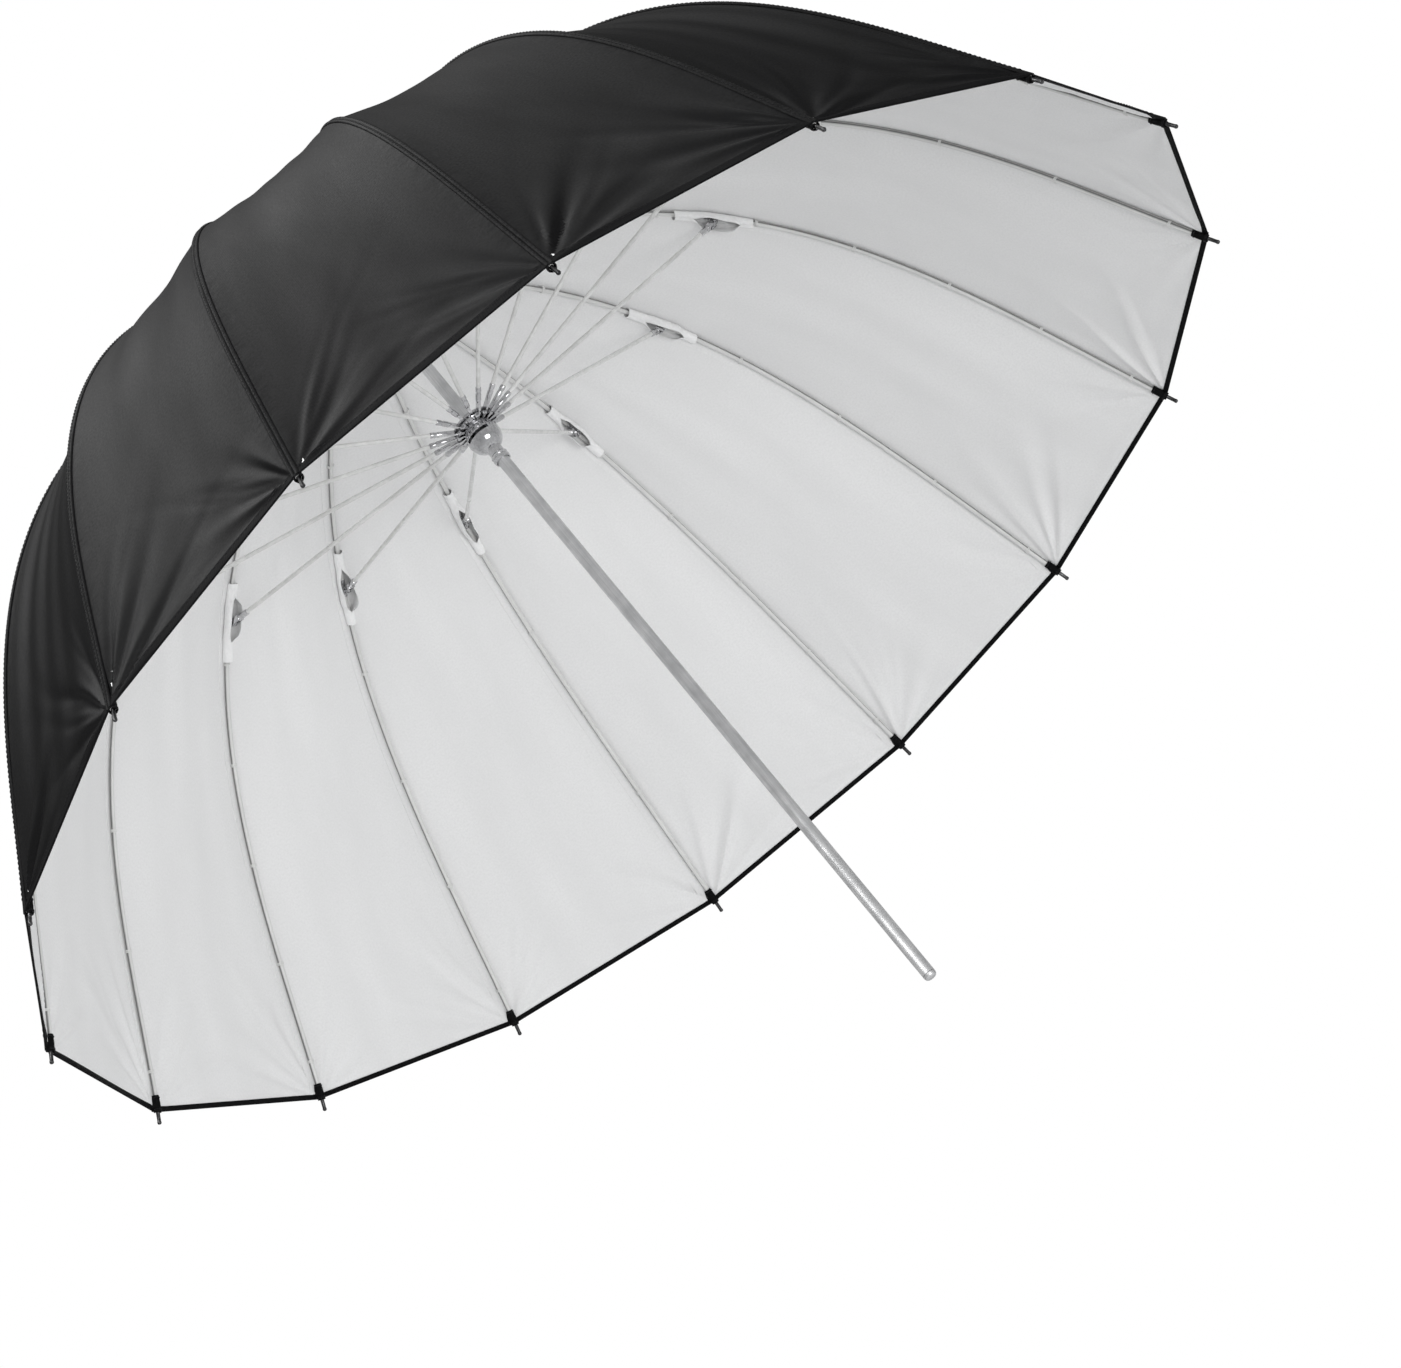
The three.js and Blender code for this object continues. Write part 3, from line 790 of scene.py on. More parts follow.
black_cloth = cloth_finish(
    "black_satin_nylon", (0.0035, 0.0035, 0.0037), (0.0065, 0.0065, 0.0068),
    {"Specular IOR Level": 0.07}, 0.42, 0.25, 0.5,
)
white_cloth = cloth_finish(
    "white_lining", (0.80, 0.80, 0.80), (0.87, 0.87, 0.87),
    {"Specular IOR Level": 0.3, "Sheen Weight": 0.1, "Sheen Roughness": 0.5}, 0.62, 0.2, 0.4,
)


def panel_width(arc):
    """The distance in mm from one seam of a panel to the other."""
    return 2 * rib_frame(arc)[0][..., 0] * math.sin(PITCH / 2)


def panel_point(arc, part, lift):
    """Points in metres on panel 01, from the arc length along its seams in mm, the part of its width
    from 0 to 1 and the lift above the rib's centre line in mm."""
    share = np.clip((arc - PANEL_START) / (PANEL_END - PANEL_START), 0, 1)
    point, _, out = rib_frame(arc)
    seam = point + out * lift[..., None]
    hollow = DISH * seam[..., 0] * np.sin(np.pi * np.minimum(1, 1.15 * (1 - share)))
    hollow = hollow * 4 * part * (1 - part)
    azimuth = part * PITCH
    chord = seam[..., 0] * math.cos(PITCH / 2) / np.cos(azimuth - PITCH / 2)
    radius = chord - hollow * out[..., 0]
    height = seam[..., 1] - hollow * out[..., 1]
    return np.stack([radius * np.cos(azimuth), radius * np.sin(azimuth), height], -1) * MM


def creases(arc, part, k):
    """How far the cloth of one panel stands out in mm: folds that fan from its two rim corners, and
    slack waves between its seams. They die out at the seams and at the hem."""
    dice = np.random.default_rng(700 + k)
    width = panel_width(arc)
    up = np.maximum(PANEL_END - arc, 0)
    total = np.zeros_like(arc)
    for side in (part, 1 - part):
        beside = side * width
        distance = np.hypot(beside, up)
        angle = np.arctan2(beside, up)
        phase, folds, reach_mm = dice.uniform(0, 6.28), dice.uniform(10, 15), dice.uniform(26, 40)
        bend = 0.5 * np.sin(distance / 34 + dice.uniform(0, 6.28))
        wave = np.sin(folds * angle + phase + bend) + 0.3 * np.sin(1.7 * folds * angle + 1.7 * phase)
        fade = (distance / reach_mm) ** 1.6 * np.exp(1.6 - 1.6 * distance / reach_mm)
        window = np.clip(np.sin(2 * np.clip(angle, 0, math.pi / 2)), 0, 1) ** 0.6
        total += 1.0 * wave * fade * window
        for _ in range(6):
            line, thin, long = dice.uniform(0.15, 1.42), dice.uniform(0.035, 0.06), dice.uniform(22, 46)
            curl = 0.05 * np.sin(distance / 30 + dice.uniform(0, 6.28))
            run = (distance / long) ** 1.5 * np.exp(1.5 - 1.5 * distance / long)
            off = (angle - line - curl) * distance / np.maximum(thin * distance, 2.6)
            total -= dice.uniform(0.45, 0.95) * run * np.exp(-off ** 2) * window
    middle = 4 * part * (1 - part)
    share = (arc - PANEL_START) / (PANEL_END - PANEL_START)
    for _ in range(5):
        lean, waves = dice.uniform(-0.5, 0.5), dice.uniform(1.5, 4.5)
        phase, strength = dice.uniform(0, 6.28), dice.uniform(0.12, 0.4)
        where = part * waves * 6.28 + share * lean * 12
        ends = np.sin(np.pi * np.clip(share, 0, 1)) ** 0.5
        total += strength * np.sin(where + phase) * middle ** 0.8 * ends
    sag_place, sag_depth = dice.uniform(0.35, 0.7), dice.uniform(0.2, 0.9)
    total -= sag_depth * middle * np.exp(-((share - sag_place) / 0.2) ** 2)
    return total


def spin(points, k):
    """Points of panel or rib 01 turned to the place of the one k further round."""
    c, s = math.cos(k * PITCH), math.sin(k * PITCH)
    x, y, z = points[..., 0], points[..., 1], points[..., 2]
    return np.stack([c * x - s * y, s * x + c * y, z], -1)


def sheet_faces(rows, columns):
    """The triangles of a grid, those of a second grid stored after it, split the same way so that the
    two sides of the cloth stay parallel, and those that close the border between them."""
    index = np.arange(rows * columns).reshape(rows, columns)
    corners = index[:-1, :-1], index[:-1, 1:], index[1:, 1:], index[1:, :-1]
    a, b, c, d = (corner.ravel() for corner in corners)
    front = np.concatenate([np.stack([a, b, c], -1), np.stack([a, c, d], -1)])
    back = front[:, ::-1] + rows * columns
    border = np.concatenate([index[0, :], index[1:, -1], index[-1, -2::-1], index[-2:0:-1, 0]])
    after = np.roll(border, -1)
    under = rows * columns
    rim = np.concatenate([
        np.stack([after, border, border + under], -1), np.stack([after, border + under, after + under], -1)
    ])
    return front, back, rim


def cloth_piece(name, outer, inner, materials):
    """Cloth with two sides, from two grids of points. Its inner side has the last of its materials."""
    front, back, rim = sheet_faces(*outer.shape[:2])
    which = [0] * len(front) + [len(materials) - 1] * len(back) + [0] * len(rim)
    points = np.concatenate([outer.reshape(-1, 3), inner.reshape(-1, 3)])
    return add_piece(name, points, np.concatenate([front, back, rim]), materials, which)


joints = {joint["name"]: joint for joint in frame["joints"]}


def turn_about(points, joint, angles):
    """Points turned about a joint's axis, each by its own angle."""
    axis, origin = np.array(joint["axis"], float), np.array(joint["pos_m"], float)
    arm = points - origin
    c, s = np.cos(angles)[:, None], np.sin(angles)[:, None]
    return origin + arm * c + np.cross(axis, arm) * s + axis * (arm @ axis)[:, None] * (1 - c)


def gather(piece, k):
    """Bakes a cloth piece of panel k in place, then works out for each point the share of the gather turn
    that keeps its own direction round the shaft when the ribs close; the shares are not stored."""
    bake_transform(piece)
    count = len(piece.data.vertices)
    rest = np.empty(count * 3)
    piece.data.vertices.foreach_get("co", rest)
    rest = rest.reshape(-1, 3)
    first = spin(rest, -k)
    wanted = np.arctan2(first[:, 1], first[:, 0])
    swing, fold = joints["gore_01_gather"], joints["rib_01_fold"]
    full_swing, full_fold = math.radians(swing["range_deg"][1]), math.radians(fold["range_deg"][1])
    low, high = np.zeros(count), np.ones(count)
    for _ in range(24):
        share = (low + high) / 2
        closed = turn_about(turn_about(first, swing, share * full_swing), fold, np.full(count, full_fold))
        short = np.arctan2(closed[:, 1], closed[:, 0]) > wanted
        low, high = np.where(short, share, low), np.where(short, high, share)


def float_attribute(mesh, name, values):
    """A named number on each point of a mesh, for its material to read."""
    mesh.attributes.new(name, "FLOAT", "POINT").data.foreach_set("value", values)


def uv_in_metres(mesh, across_mm, along_mm):
    """A UV map in metres of cloth, from each point's place across and along the cloth in mm."""
    corner = np.empty(len(mesh.loops), int)
    mesh.loops.foreach_get("vertex_index", corner)
    both = np.stack([across_mm[corner], along_mm[corner]], -1) * MM
    mesh.uv_layers.new(name="cloth").data.foreach_set("uv", both.ravel())


row_share = 1 - (1 - np.linspace(0, 1, PANEL_ROWS)) ** 1.35
panel_arc = PANEL_START + row_share * (PANEL_END - PANEL_START)
panel_part = (1 - np.cos(np.linspace(0, 1, PANEL_COLUMNS) * math.pi)) / 2 * 0.35 + np.linspace(
    0, 1, PANEL_COLUMNS
) * 0.65
ARC, PART = np.meshgrid(panel_arc, panel_part, indexing="ij")
widths = panel_width(ARC)
beside_seam = np.minimum(PART, 1 - PART) * widths
seam_mm = np.minimum(beside_seam, PANEL_END - ARC + 1)
from_middle = (PART - 0.5) * widths
EDGE_GAP = 0.08
for k in range(RIB_COUNT):
    stand = creases(ARC, PART, k)
    inset = EDGE_GAP / widths
    part = inset + PART * (1 - 2 * inset)
    face = spin(panel_point(ARC, part, stand + FACE_LIFT), k)
    lining = spin(panel_point(ARC, part, stand + LINING_LIFT), k)
    panel = cloth_piece(f"canopy_panel_{k + 1:02d}", face, lining, [black_cloth, white_cloth])
    uv_in_metres(panel.data, np.tile(from_middle.ravel(), 2), np.tile(ARC.ravel(), 2))
    float_attribute(panel.data, "seam_distance", np.tile(seam_mm.ravel(), 2) * MM)
    gather(panel, k)
    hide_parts(f"gore_{k + 1:02d}")


# Seams
# Where two panels meet over a rib they are felled: the edges are turned under and topstitched in two
# ridges outside, and the white allowance lies flat to one side of the rib inside.
TOPSTITCH_SIDE = 1.25
TOPSTITCH_LIFT = 3.22
RIDGE = [
    (-2.7, 2.0), (-2.5, 2.55), (-1.9, 3.05), (-1.2, 3.2), (-0.55, 3.0), (0.0, 2.45), (0.55, 3.0),
    (1.2, 3.2), (1.9, 3.05), (2.5, 2.55), (2.7, 2.0), (1.4, 2.2), (0.0, 2.3), (-1.4, 2.2),
]
SEAM_ROWS = 120
ALLOWANCE = 7.0

thread_black, tree, shader = new_finish("black_thread", {"Specular IOR Level": 0.12})
twist = noise(tree, on_object(tree), 1800.0, 2.0)
colour = shade(tree, twist, (0.004, 0.004, 0.0045), (0.014, 0.014, 0.015))
cover(tree, shader, colour, between(tree, twist, 0.45, 0.65))


def set_along(tree, path, spacing, axis, part):
    """A part set at an even spacing along a path, with its axis along it."""
    line = node(tree, "GeometryNodeMeshToCurve", {"Mesh": path}).outputs["Curve"]
    spaced = node(tree, "GeometryNodeResampleCurve", {"Curve": line, "Length": spacing}, mode="LENGTH")
    tangent = node(tree, "GeometryNodeInputTangent").outputs["Tangent"]
    heading = node(tree, "FunctionNodeAlignRotationToVector", {"Vector": tangent}, axis=axis)
    places = {
        "Points": spaced.outputs["Curve"], "Instance": part, "Rotation": heading.outputs["Rotation"]
    }
    return node(tree, "GeometryNodeInstanceOnPoints", places).outputs["Instances"]


stitch_tree, sizes = new_tree(
    "stitch_row", {"Pitch": 0.0034, "Stitch length": 0.0024, "Thread radius": 0.00028, "Turn": 0.0}
)
bead = node(stitch_tree, "GeometryNodeMeshUVSphere", {"Segments": 5, "Rings": 4, "Radius": 1.0})
half_length = times(stitch_tree, sizes["Stitch length"], 0.5)
stitch_size = node(
    stitch_tree, "ShaderNodeCombineXYZ",
    {"X": half_length, "Y": sizes["Thread radius"], "Z": sizes["Thread radius"]},
)
stitch = node(
    stitch_tree, "GeometryNodeTransform",
    {"Geometry": bead.outputs["Mesh"], "Scale": stitch_size.outputs["Vector"]},
)
sewn = set_along(stitch_tree, sizes["Path"], sizes["Pitch"], "X", stitch.outputs["Geometry"])
end_tree(stitch_tree, sewn, sizes["Turn"], thread_black)


def swept(stations):
    """Points and faces of a closed outline carried along stations, with both ends closed."""
    count, sides = stations.shape[:2]
    index = np.arange(count * sides).reshape(count, sides)
    nxt = np.roll(index, -1, axis=1)
    walls = np.stack([index[:-1], nxt[:-1], nxt[1:], index[1:]], -1).reshape(-1, 4).tolist()
    return stations.reshape(-1, 3), walls + [index[0].tolist(), index[-1][::-1].tolist()]


seam_arc = np.linspace(PANEL_START + 6, PANEL_END + 0.4, SEAM_ROWS)
narrow = np.minimum(1, rib_frame(seam_arc)[0][:, 0] / 45)[:, None]
ridge = np.array(RIDGE)
ridge_side = narrow * ridge[None, :, 0]
ridge_lift = np.broadcast_to(ridge[None, :, 1], ridge_side.shape)
ridge_points = rib_point(np.repeat(seam_arc[:, None], len(RIDGE), 1), ridge_side, ridge_lift)
stitch_arc = seam_arc[6:-2]
for k in range(RIB_COUNT):
    number = f"{k + 1:02d}"
    points, faces = swept(spin(ridge_points, k))
    fell = add_piece("fell", points, faces, [black_cloth])
    uv_in_metres(fell.data, np.tile(ridge[:, 0], SEAM_ROWS), np.repeat(seam_arc, len(RIDGE)))
    meshes = [fell.data]
    bpy.data.objects.remove(fell)
    for side in (-TOPSTITCH_SIDE, TOPSTITCH_SIDE):
        row = rib_point(stitch_arc, side * narrow[6:-2, 0], np.full(len(stitch_arc), TOPSTITCH_LIFT))
        meshes.append(grown(stitch_tree, row, {"Turn": k * PITCH}))
    seam = piece_from(f"rib_seam_{number}", meshes, [black_cloth, thread_black])
    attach(seam, f"rib_{number}")

allow_arc = np.linspace(PANEL_START + 12, PANEL_END - 2.8, 70)
allow_share = np.linspace(0, 1, 4)
allow_part = np.minimum(ALLOWANCE, 0.34 * panel_width(allow_arc)) / panel_width(allow_arc)
allow_start = 0.5 / panel_width(allow_arc)
GRID_ARC = np.repeat(allow_arc[:, None], len(allow_share), 1)
GRID_PART = allow_start[:, None] + (allow_part - allow_start)[:, None] * allow_share[None, :]
for k in range(RIB_COUNT):
    stand = creases(GRID_ARC, GRID_PART, k)
    top = spin(panel_point(GRID_ARC, GRID_PART, stand + LINING_LIFT - 0.02), k)
    under = spin(panel_point(GRID_ARC, GRID_PART, stand + LINING_LIFT - 0.36), k)
    allowance = cloth_piece(f"seam_allowance_{k + 1:02d}", top, under, [white_cloth])
    across_mm = np.tile((GRID_PART * panel_width(GRID_ARC)).ravel(), 2)
    uv_in_metres(allowance.data, across_mm, np.tile(GRID_ARC.ravel(), 2))
    float_attribute(allowance.data, "seam_distance", across_mm * MM + 0.004)
    gather(allowance, k)


# Hem
# Each panel's rim is bound with a black tape folded over its edge: a narrow black line inside, a
# wider topstitched band outside.
HEM = [
    (-5.8, 2.66), (-5.8, 2.95), (-4.2, 3.0), (-2.6, 3.0), (-1.0, 3.0), (0.3, 2.9), (0.75, 2.5), (0.75, 2.1),
    (0.3, 1.72), (-0.6, 1.62), (-2.5, 1.66), (-2.5, 1.98), (-0.5, 1.98), (-0.1, 2.1), (-0.1, 2.5),
    (-1.0, 2.66), (-2.6, 2.66), (-4.2, 2.66),
]

tape, tree, shader = new_finish("black_tape", {"Specular IOR Level": 0.04})
thread = on_cloth(tree)
cords = node(
    tree, "ShaderNodeTexWave", {"Vector": thread, "Scale": 220.0, "Distortion": 0.4}, bands_direction="X"
).outputs["Fac"]
fuzz = noise(tree, thread, 500.0, 3.0)
colour = shade(tree, fuzz, (0.003, 0.003, 0.0032), (0.008, 0.008, 0.0085))
cover(tree, shader, colour, between(tree, fuzz, 0.5, 0.68), bumped(tree, cords, 0.35, 0.0002))

HEM_STITCH_LINE = 4.6
hem_part = 0.002 + 0.996 * panel_part
hem = np.array(HEM)
HEM_PART, HEM_ARC = np.meshgrid(hem_part, PANEL_END + hem[:, 0], indexing="ij")
HEM_LIFT = np.broadcast_to(hem[None, :, 1], HEM_PART.shape)
row_part = np.linspace(0.02, 0.98, 60)
for k in range(RIB_COUNT):
    stand = creases(HEM_ARC, HEM_PART, k)
    points, faces = swept(spin(panel_point(HEM_ARC, HEM_PART, HEM_LIFT + stand), k))
    binding = add_piece("binding", points, faces, [tape])
    uv_in_metres(
        binding.data, (HEM_PART * panel_width(HEM_ARC)).ravel(), np.tile(hem[:, 0], PANEL_COLUMNS)
    )
    meshes = [binding.data]
    bpy.data.objects.remove(binding)
    row_arc = np.full(len(row_part), PANEL_END - HEM_STITCH_LINE)
    row = panel_point(row_arc, row_part, creases(row_arc, row_part, k) + 3.0)
    meshes.append(grown(stitch_tree, row, {"Turn": k * PITCH}))
    hem_piece = piece_from(f"panel_hem_{k + 1:02d}", meshes, [tape, thread_black])
    gather(hem_piece, k)


# Corner tabs
# A folded black tab is sewn to the hem at every rib and holds the rib's steel end; a tight ring of
# black thread binds it.
TAB_LOW = -9.0
TAB_HIGH = 1.6
TAB_ROWS = 12
TAB_COLUMNS = 22
TAB_OUTER = 2.35
TAB_INNER = 2.02
tab_turns = np.linspace(-2.5, 2.5, TAB_COLUMNS)
tab_arc = PANEL_END + np.linspace(TAB_LOW, TAB_HIGH, TAB_ROWS)
bulge = 0.5 + 0.5 * np.cos(np.linspace(-math.pi, math.pi, TAB_ROWS))
outer_grid, inner_grid = [], []
for arc, swell in zip(tab_arc, bulge):
    rows = []
    for radius in (TAB_OUTER, TAB_INNER):
        side = radius * np.sin(tab_turns) * (1 + 0.08 * swell)
        lift = -radius * np.cos(tab_turns) * (1 + 0.06 * swell)
        flare = np.clip(tab_turns - 1.4, 0, None)
        side = side + flare * 3.3 * swell
        lift = np.minimum(lift + flare * 0.1, 1.75 - (TAB_OUTER - radius) * 0.2)
        rows.append(rib_point(np.full(TAB_COLUMNS, arc), side, lift))
    outer_grid.append(rows[0])
    inner_grid.append(rows[1])
front, back, rim = sheet_faces(TAB_ROWS, TAB_COLUMNS)
tab_points = np.concatenate([np.array(outer_grid).reshape(-1, 3), np.array(inner_grid).reshape(-1, 3)])
tab_faces = np.concatenate([front, back, rim])
ring_shape = round_section(2.5, 0, 0.32, 8)
for k in range(RIB_COUNT):
    number = f"{k + 1:02d}"
    shapes = [(spin(tab_points, k), tab_faces.tolist())]
    for arc in (PANEL_END - 0.4, PANEL_END + 0.4, PANEL_END - 7.6):
        spot, direction, _ = rib_frame(arc)
        ring_points, ring_faces = turned(ring_shape, 20, across(spot, direction))
        shapes.append((spin(ring_points, k), ring_faces))
    points, faces, origin = joined(shapes)
    which = [0 if o == 0 else 1 for o in origin]
    tab = add_piece(f"corner_tab_{number}", points, faces, [tape, thread_black], which)
    uv_in_metres(tab.data, points[:, 0] / MM, points[:, 2] / MM)
    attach(tab, f"rib_{number}")


# Thread ties
# Doubled white thread, sewn through the lining and wound round the rib every six or seven
# centimetres, so that the cloth can't lift off the rods.
FIRST_TIE = 72
LAST_TIE = 34
TIE_SPACING = 0.0655

thread_white, tree, shader = new_finish("white_thread", {"Specular IOR Level": 0.3, "Sheen Weight": 0.2})
twist = noise(tree, on_object(tree), 2200.0, 2.0)
colour = shade(tree, twist, (0.66, 0.66, 0.65), (0.9, 0.9, 0.89))
cover(tree, shader, colour, between(tree, twist, 0.55, 0.75))

tie_tree, sizes = new_tree(
    "thread_ties",
    {"Spacing": 0.066, "Wraps": 3.0, "Loop radius": 0.0021, "Thread radius": 0.00028, "Turn": 0.0},
)
height = times(tie_tree, times(tie_tree, sizes["Wraps"], sizes["Thread radius"]), 2.3)
coil = node(
    tie_tree, "GeometryNodeCurveSpiral",
    {"Resolution": 14, "Rotations": sizes["Wraps"], "Start Radius": sizes["Loop radius"],
     "End Radius": sizes["Loop radius"], "Height": height},
)
strand = node(
    tie_tree, "GeometryNodeCurvePrimitiveCircle", {"Resolution": 5, "Radius": sizes["Thread radius"]}
)
wound = node(
    tie_tree, "GeometryNodeCurveToMesh",
    {"Curve": coil.outputs["Curve"], "Profile Curve": strand.outputs["Curve"], "Fill Caps": True},
)
tied = set_along(tie_tree, sizes["Path"], sizes["Spacing"], "Z", wound.outputs["Mesh"])
end_tree(tie_tree, tied, sizes["Turn"], thread_white)
tie_arc = np.linspace(FIRST_TIE, RIB_LENGTH - LAST_TIE, 80)
tie_path = rib_point(tie_arc, 0.0, np.full(len(tie_arc), 0.05))
for k in range(RIB_COUNT):
    number = f"{k + 1:02d}"
    spacing = TIE_SPACING + 0.0012 * math.sin(2.4 * k)
    mesh = grown(tie_tree, tie_path, {"Spacing": spacing, "Turn": k * PITCH})
    ties = piece_from(f"thread_ties_{number}", [mesh], [thread_white])
    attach(ties, f"rib_{number}")


# Joint patches
# A scrap of soft white cloth is wrapped loosely round each rib's saddle, and tied at both ends, so
# that the steel doesn't chafe the canopy. It is open below, where the stretcher swings.
PATCH_HALF_LENGTH = 26.0
PATCH_FLAP = 15.0
PATCH_ROWS = 44
PATCH_COLUMNS = 31
PATCH_THICKNESS = 0.16
POUCH_LENGTH = [0.0, 1.0, 2.5, 4.5, 6.5, 9.0, 11.0, 13.0, 17.0]
POUCH_SIDE = [0.0, 1.0, 2.4, 3.8, 4.5, 4.6, 3.9, 3.0, 2.7]
POUCH_DROP = [0.0, -0.1, -0.6, -2.0, -3.9, -6.4, -8.3, -10.0, -14.0]
WRAP_RADIUS = 2.7

patch_cloth, tree, shader = new_finish(
    "soft_white_patch", {"Specular IOR Level": 0.35, "Sheen Weight": 0.3, "Sheen Roughness": 0.5}
)
thread = on_cloth(tree)
crumple = noise(tree, thread, 110.0, 4.0)
tone = between(tree, times(tree, noise(tree, thread, 420.0, 4.0), crumple), 0.0, 1.0, 0.1, 0.4)
colour = shade(tree, tone, (0.86, 0.86, 0.86), (0.95, 0.95, 0.95))
cover(tree, shader, colour, between(tree, tone, 0.6, 0.42), bumped(tree, crumple, 0.5, 0.0015))

row_place = np.linspace(-1, 1, PATCH_ROWS)
flap_place = np.linspace(-1, 1, PATCH_COLUMNS)
for k in range(RIB_COUNT):
    number = f"{k + 1:02d}"
    dice = np.random.default_rng(40 + k)
    wave = dice.uniform(0, 6.28, 4)
    reach_left, reach_right = dice.uniform(0.72, 1.05, 2)
    grids = []
    for layer in (0.0, PATCH_THICKNESS):
        grid = np.empty((PATCH_ROWS, PATCH_COLUMNS, 3))
        for i, s in enumerate(row_place):
            opened = 1 / (1 + math.exp((abs(s + 0.08 * math.sin(wave[3])) - 0.5) * 16))
            flap = PATCH_FLAP * np.where(flap_place < 0, reach_left, reach_right)
            flap = flap * (0.72 + 0.28 * opened) * (1 + 0.1 * math.sin(3 * s + wave[0]))
            length = np.abs(flap_place) * flap
            hand = np.sign(flap_place)
            ripple = 0.35 * np.sin(9 * s + wave[2] + 2 * hand) * np.clip((length - 3) / 5, 0, 1)
            loose_side = np.interp(length, POUCH_LENGTH, POUCH_SIDE) + ripple + 0.3 * np.sin(4 * s + wave[1])
            loose_side = np.where(length < 1, length, loose_side)
            loose_lift = np.interp(length, POUCH_LENGTH, POUCH_DROP)
            wrap = WRAP_RADIUS + 0.045 * length + np.where(hand > 0, 0.25, 0)
            turn = np.minimum(length / WRAP_RADIUS, 3.6)
            wrap_side = wrap * np.sin(turn)
            wrap_lift = wrap * np.cos(turn) - WRAP_RADIUS
            thick = layer * np.clip(length / 1.5, 0, 1)
            wrapped = 1 - opened
            side = opened * (loose_side + thick * 0.6) + wrapped * (wrap_side + thick * np.sin(turn))
            side = hand * side
            lift = 1.78 + opened * loose_lift + wrapped * (wrap_lift + thick * np.cos(turn))
            lift = lift + layer * (1 - np.clip(length / 1.5, 0, 1))
            arc = JOINT_ARC + s * PATCH_HALF_LENGTH + 0.8 * np.sin(length / 4 + wave[3])
            grid[i] = rib_point(arc, side, lift)
        grids.append(grid)
    patch = cloth_piece(f"joint_patch_{number}", spin(grids[1], k), spin(grids[0], k), [patch_cloth])
    across_mm = np.tile(np.repeat(flap_place[None, :] * PATCH_FLAP, PATCH_ROWS, 0).ravel(), 2)
    along_mm = np.tile(np.repeat(row_place[:, None] * PATCH_HALF_LENGTH, PATCH_COLUMNS, 1).ravel(), 2)
    uv_in_metres(patch.data, across_mm, along_mm)
    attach(patch, f"rib_{number}")


# Apex cloth
# The narrow inner ends of the panels run on under the washer, where they are clamped on the crown.
# They stay put at the shaft.
APEX_ROWS = 12
APEX_COLUMNS = 7
APEX_INNER = 5.2
APEX_OUTER = 24.5
apex_radius = np.linspace(APEX_INNER, APEX_OUTER, APEX_ROWS)
apex_turn = np.linspace(-0.5, 0.5, APEX_COLUMNS) * PITCH * 0.995
RADIUS, TURN = np.meshgrid(apex_radius, apex_turn, indexing="ij")
panel_top = rib_frame(np.clip(RADIUS - CROWN_PIVOT, 0, None))[0][..., 1] + FACE_LIFT
apex_height = np.maximum(panel_top + 0.25, CROWN_HEIGHT + HEAD_HALF + 0.35)
for k in range(RIB_COUNT):
    layers = []
    for layer in (0.3, 0.0):
        flat = np.stack([RADIUS * np.cos(TURN), RADIUS * np.sin(TURN), apex_height + layer], -1) * MM
        layers.append(spin(flat, k))
    apex = cloth_piece(f"apex_cloth_{k + 1:02d}", *layers, [black_cloth])
    uv_in_metres(apex.data, np.tile((RADIUS * TURN).ravel(), 2), np.tile(RADIUS.ravel(), 2))
    float_attribute(apex.data, "seam_distance", np.full(2 * APEX_ROWS * APEX_COLUMNS, 0.02))
    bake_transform(apex)


# Washer and ferrule
# A thin black moulded washer presses the cloth on the crown, and a black moulded ferrule is pushed
# over the shaft's end and closes it.
WASHER_LOW = CROWN_HEIGHT + 5
WASHER_RADIUS = 24.0
FERRULE_LOW = WASHER_LOW + 1 + FIT
FERRULE_TOP = 505.0
FERRULE_FLAT = 2.4
FERRULE_ROUND = 3.5

moulded, tree, shader = new_finish("black_moulding", {"Specular IOR Level": 0.45})
place = on_object(tree)
rubbed = noise(tree, place, 70.0, 4.0)
colour = shade(tree, rubbed, (0.014, 0.014, 0.015), (0.032, 0.032, 0.033))
grain = bumped(tree, noise(tree, place, 1600.0, 3.0), 0.3, 0.0002)
cover(tree, shader, colour, between(tree, rubbed, 0.35, 0.55), grain)

outline = [
    (bore, WASHER_LOW), (WASHER_RADIUS - 0.4, WASHER_LOW), (WASHER_RADIUS, WASHER_LOW + 0.3),
    (WASHER_RADIUS - 0.3, WASHER_LOW + 0.75), (WASHER_RADIUS - 2.2, WASHER_LOW + 0.95),
    (WASHER_RADIUS - 2.8, WASHER_LOW + 0.75), (WASHER_RADIUS - 3.4, WASHER_LOW + 0.95),
    (bore, WASHER_LOW + 1), (bore, WASHER_LOW),
]
washer = add_piece("cloth_washer", *turned(outline, 96), [moulded])
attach(washer, "shaft")
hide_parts("canopy_washer")

outline = [
    (bore, FERRULE_LOW), (7.2, FERRULE_LOW), (7.5, FERRULE_LOW + 0.3), (7.5, FERRULE_LOW + 2.1),
    (7.1, FERRULE_LOW + 2.6), (6.4, FERRULE_LOW + 3.1), (6.1, FERRULE_LOW + 4.0), (5.9, FERRULE_TOP - 5),
]
for step in range(1, 9):
    turn = math.pi / 2 * step / 8
    radius = FERRULE_FLAT + FERRULE_ROUND * math.cos(turn)
    outline.append((radius, FERRULE_TOP - 4 + 4 * math.sin(turn)))
outline += [(0, FERRULE_TOP), (0, SHAFT_HIGH + FIT), (bore, SHAFT_HIGH + FIT), (bore, FERRULE_LOW)]
ferrule = add_piece("top_ferrule", *turned(outline, 64), [moulded])
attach(ferrule, "shaft")
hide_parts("ferrule")


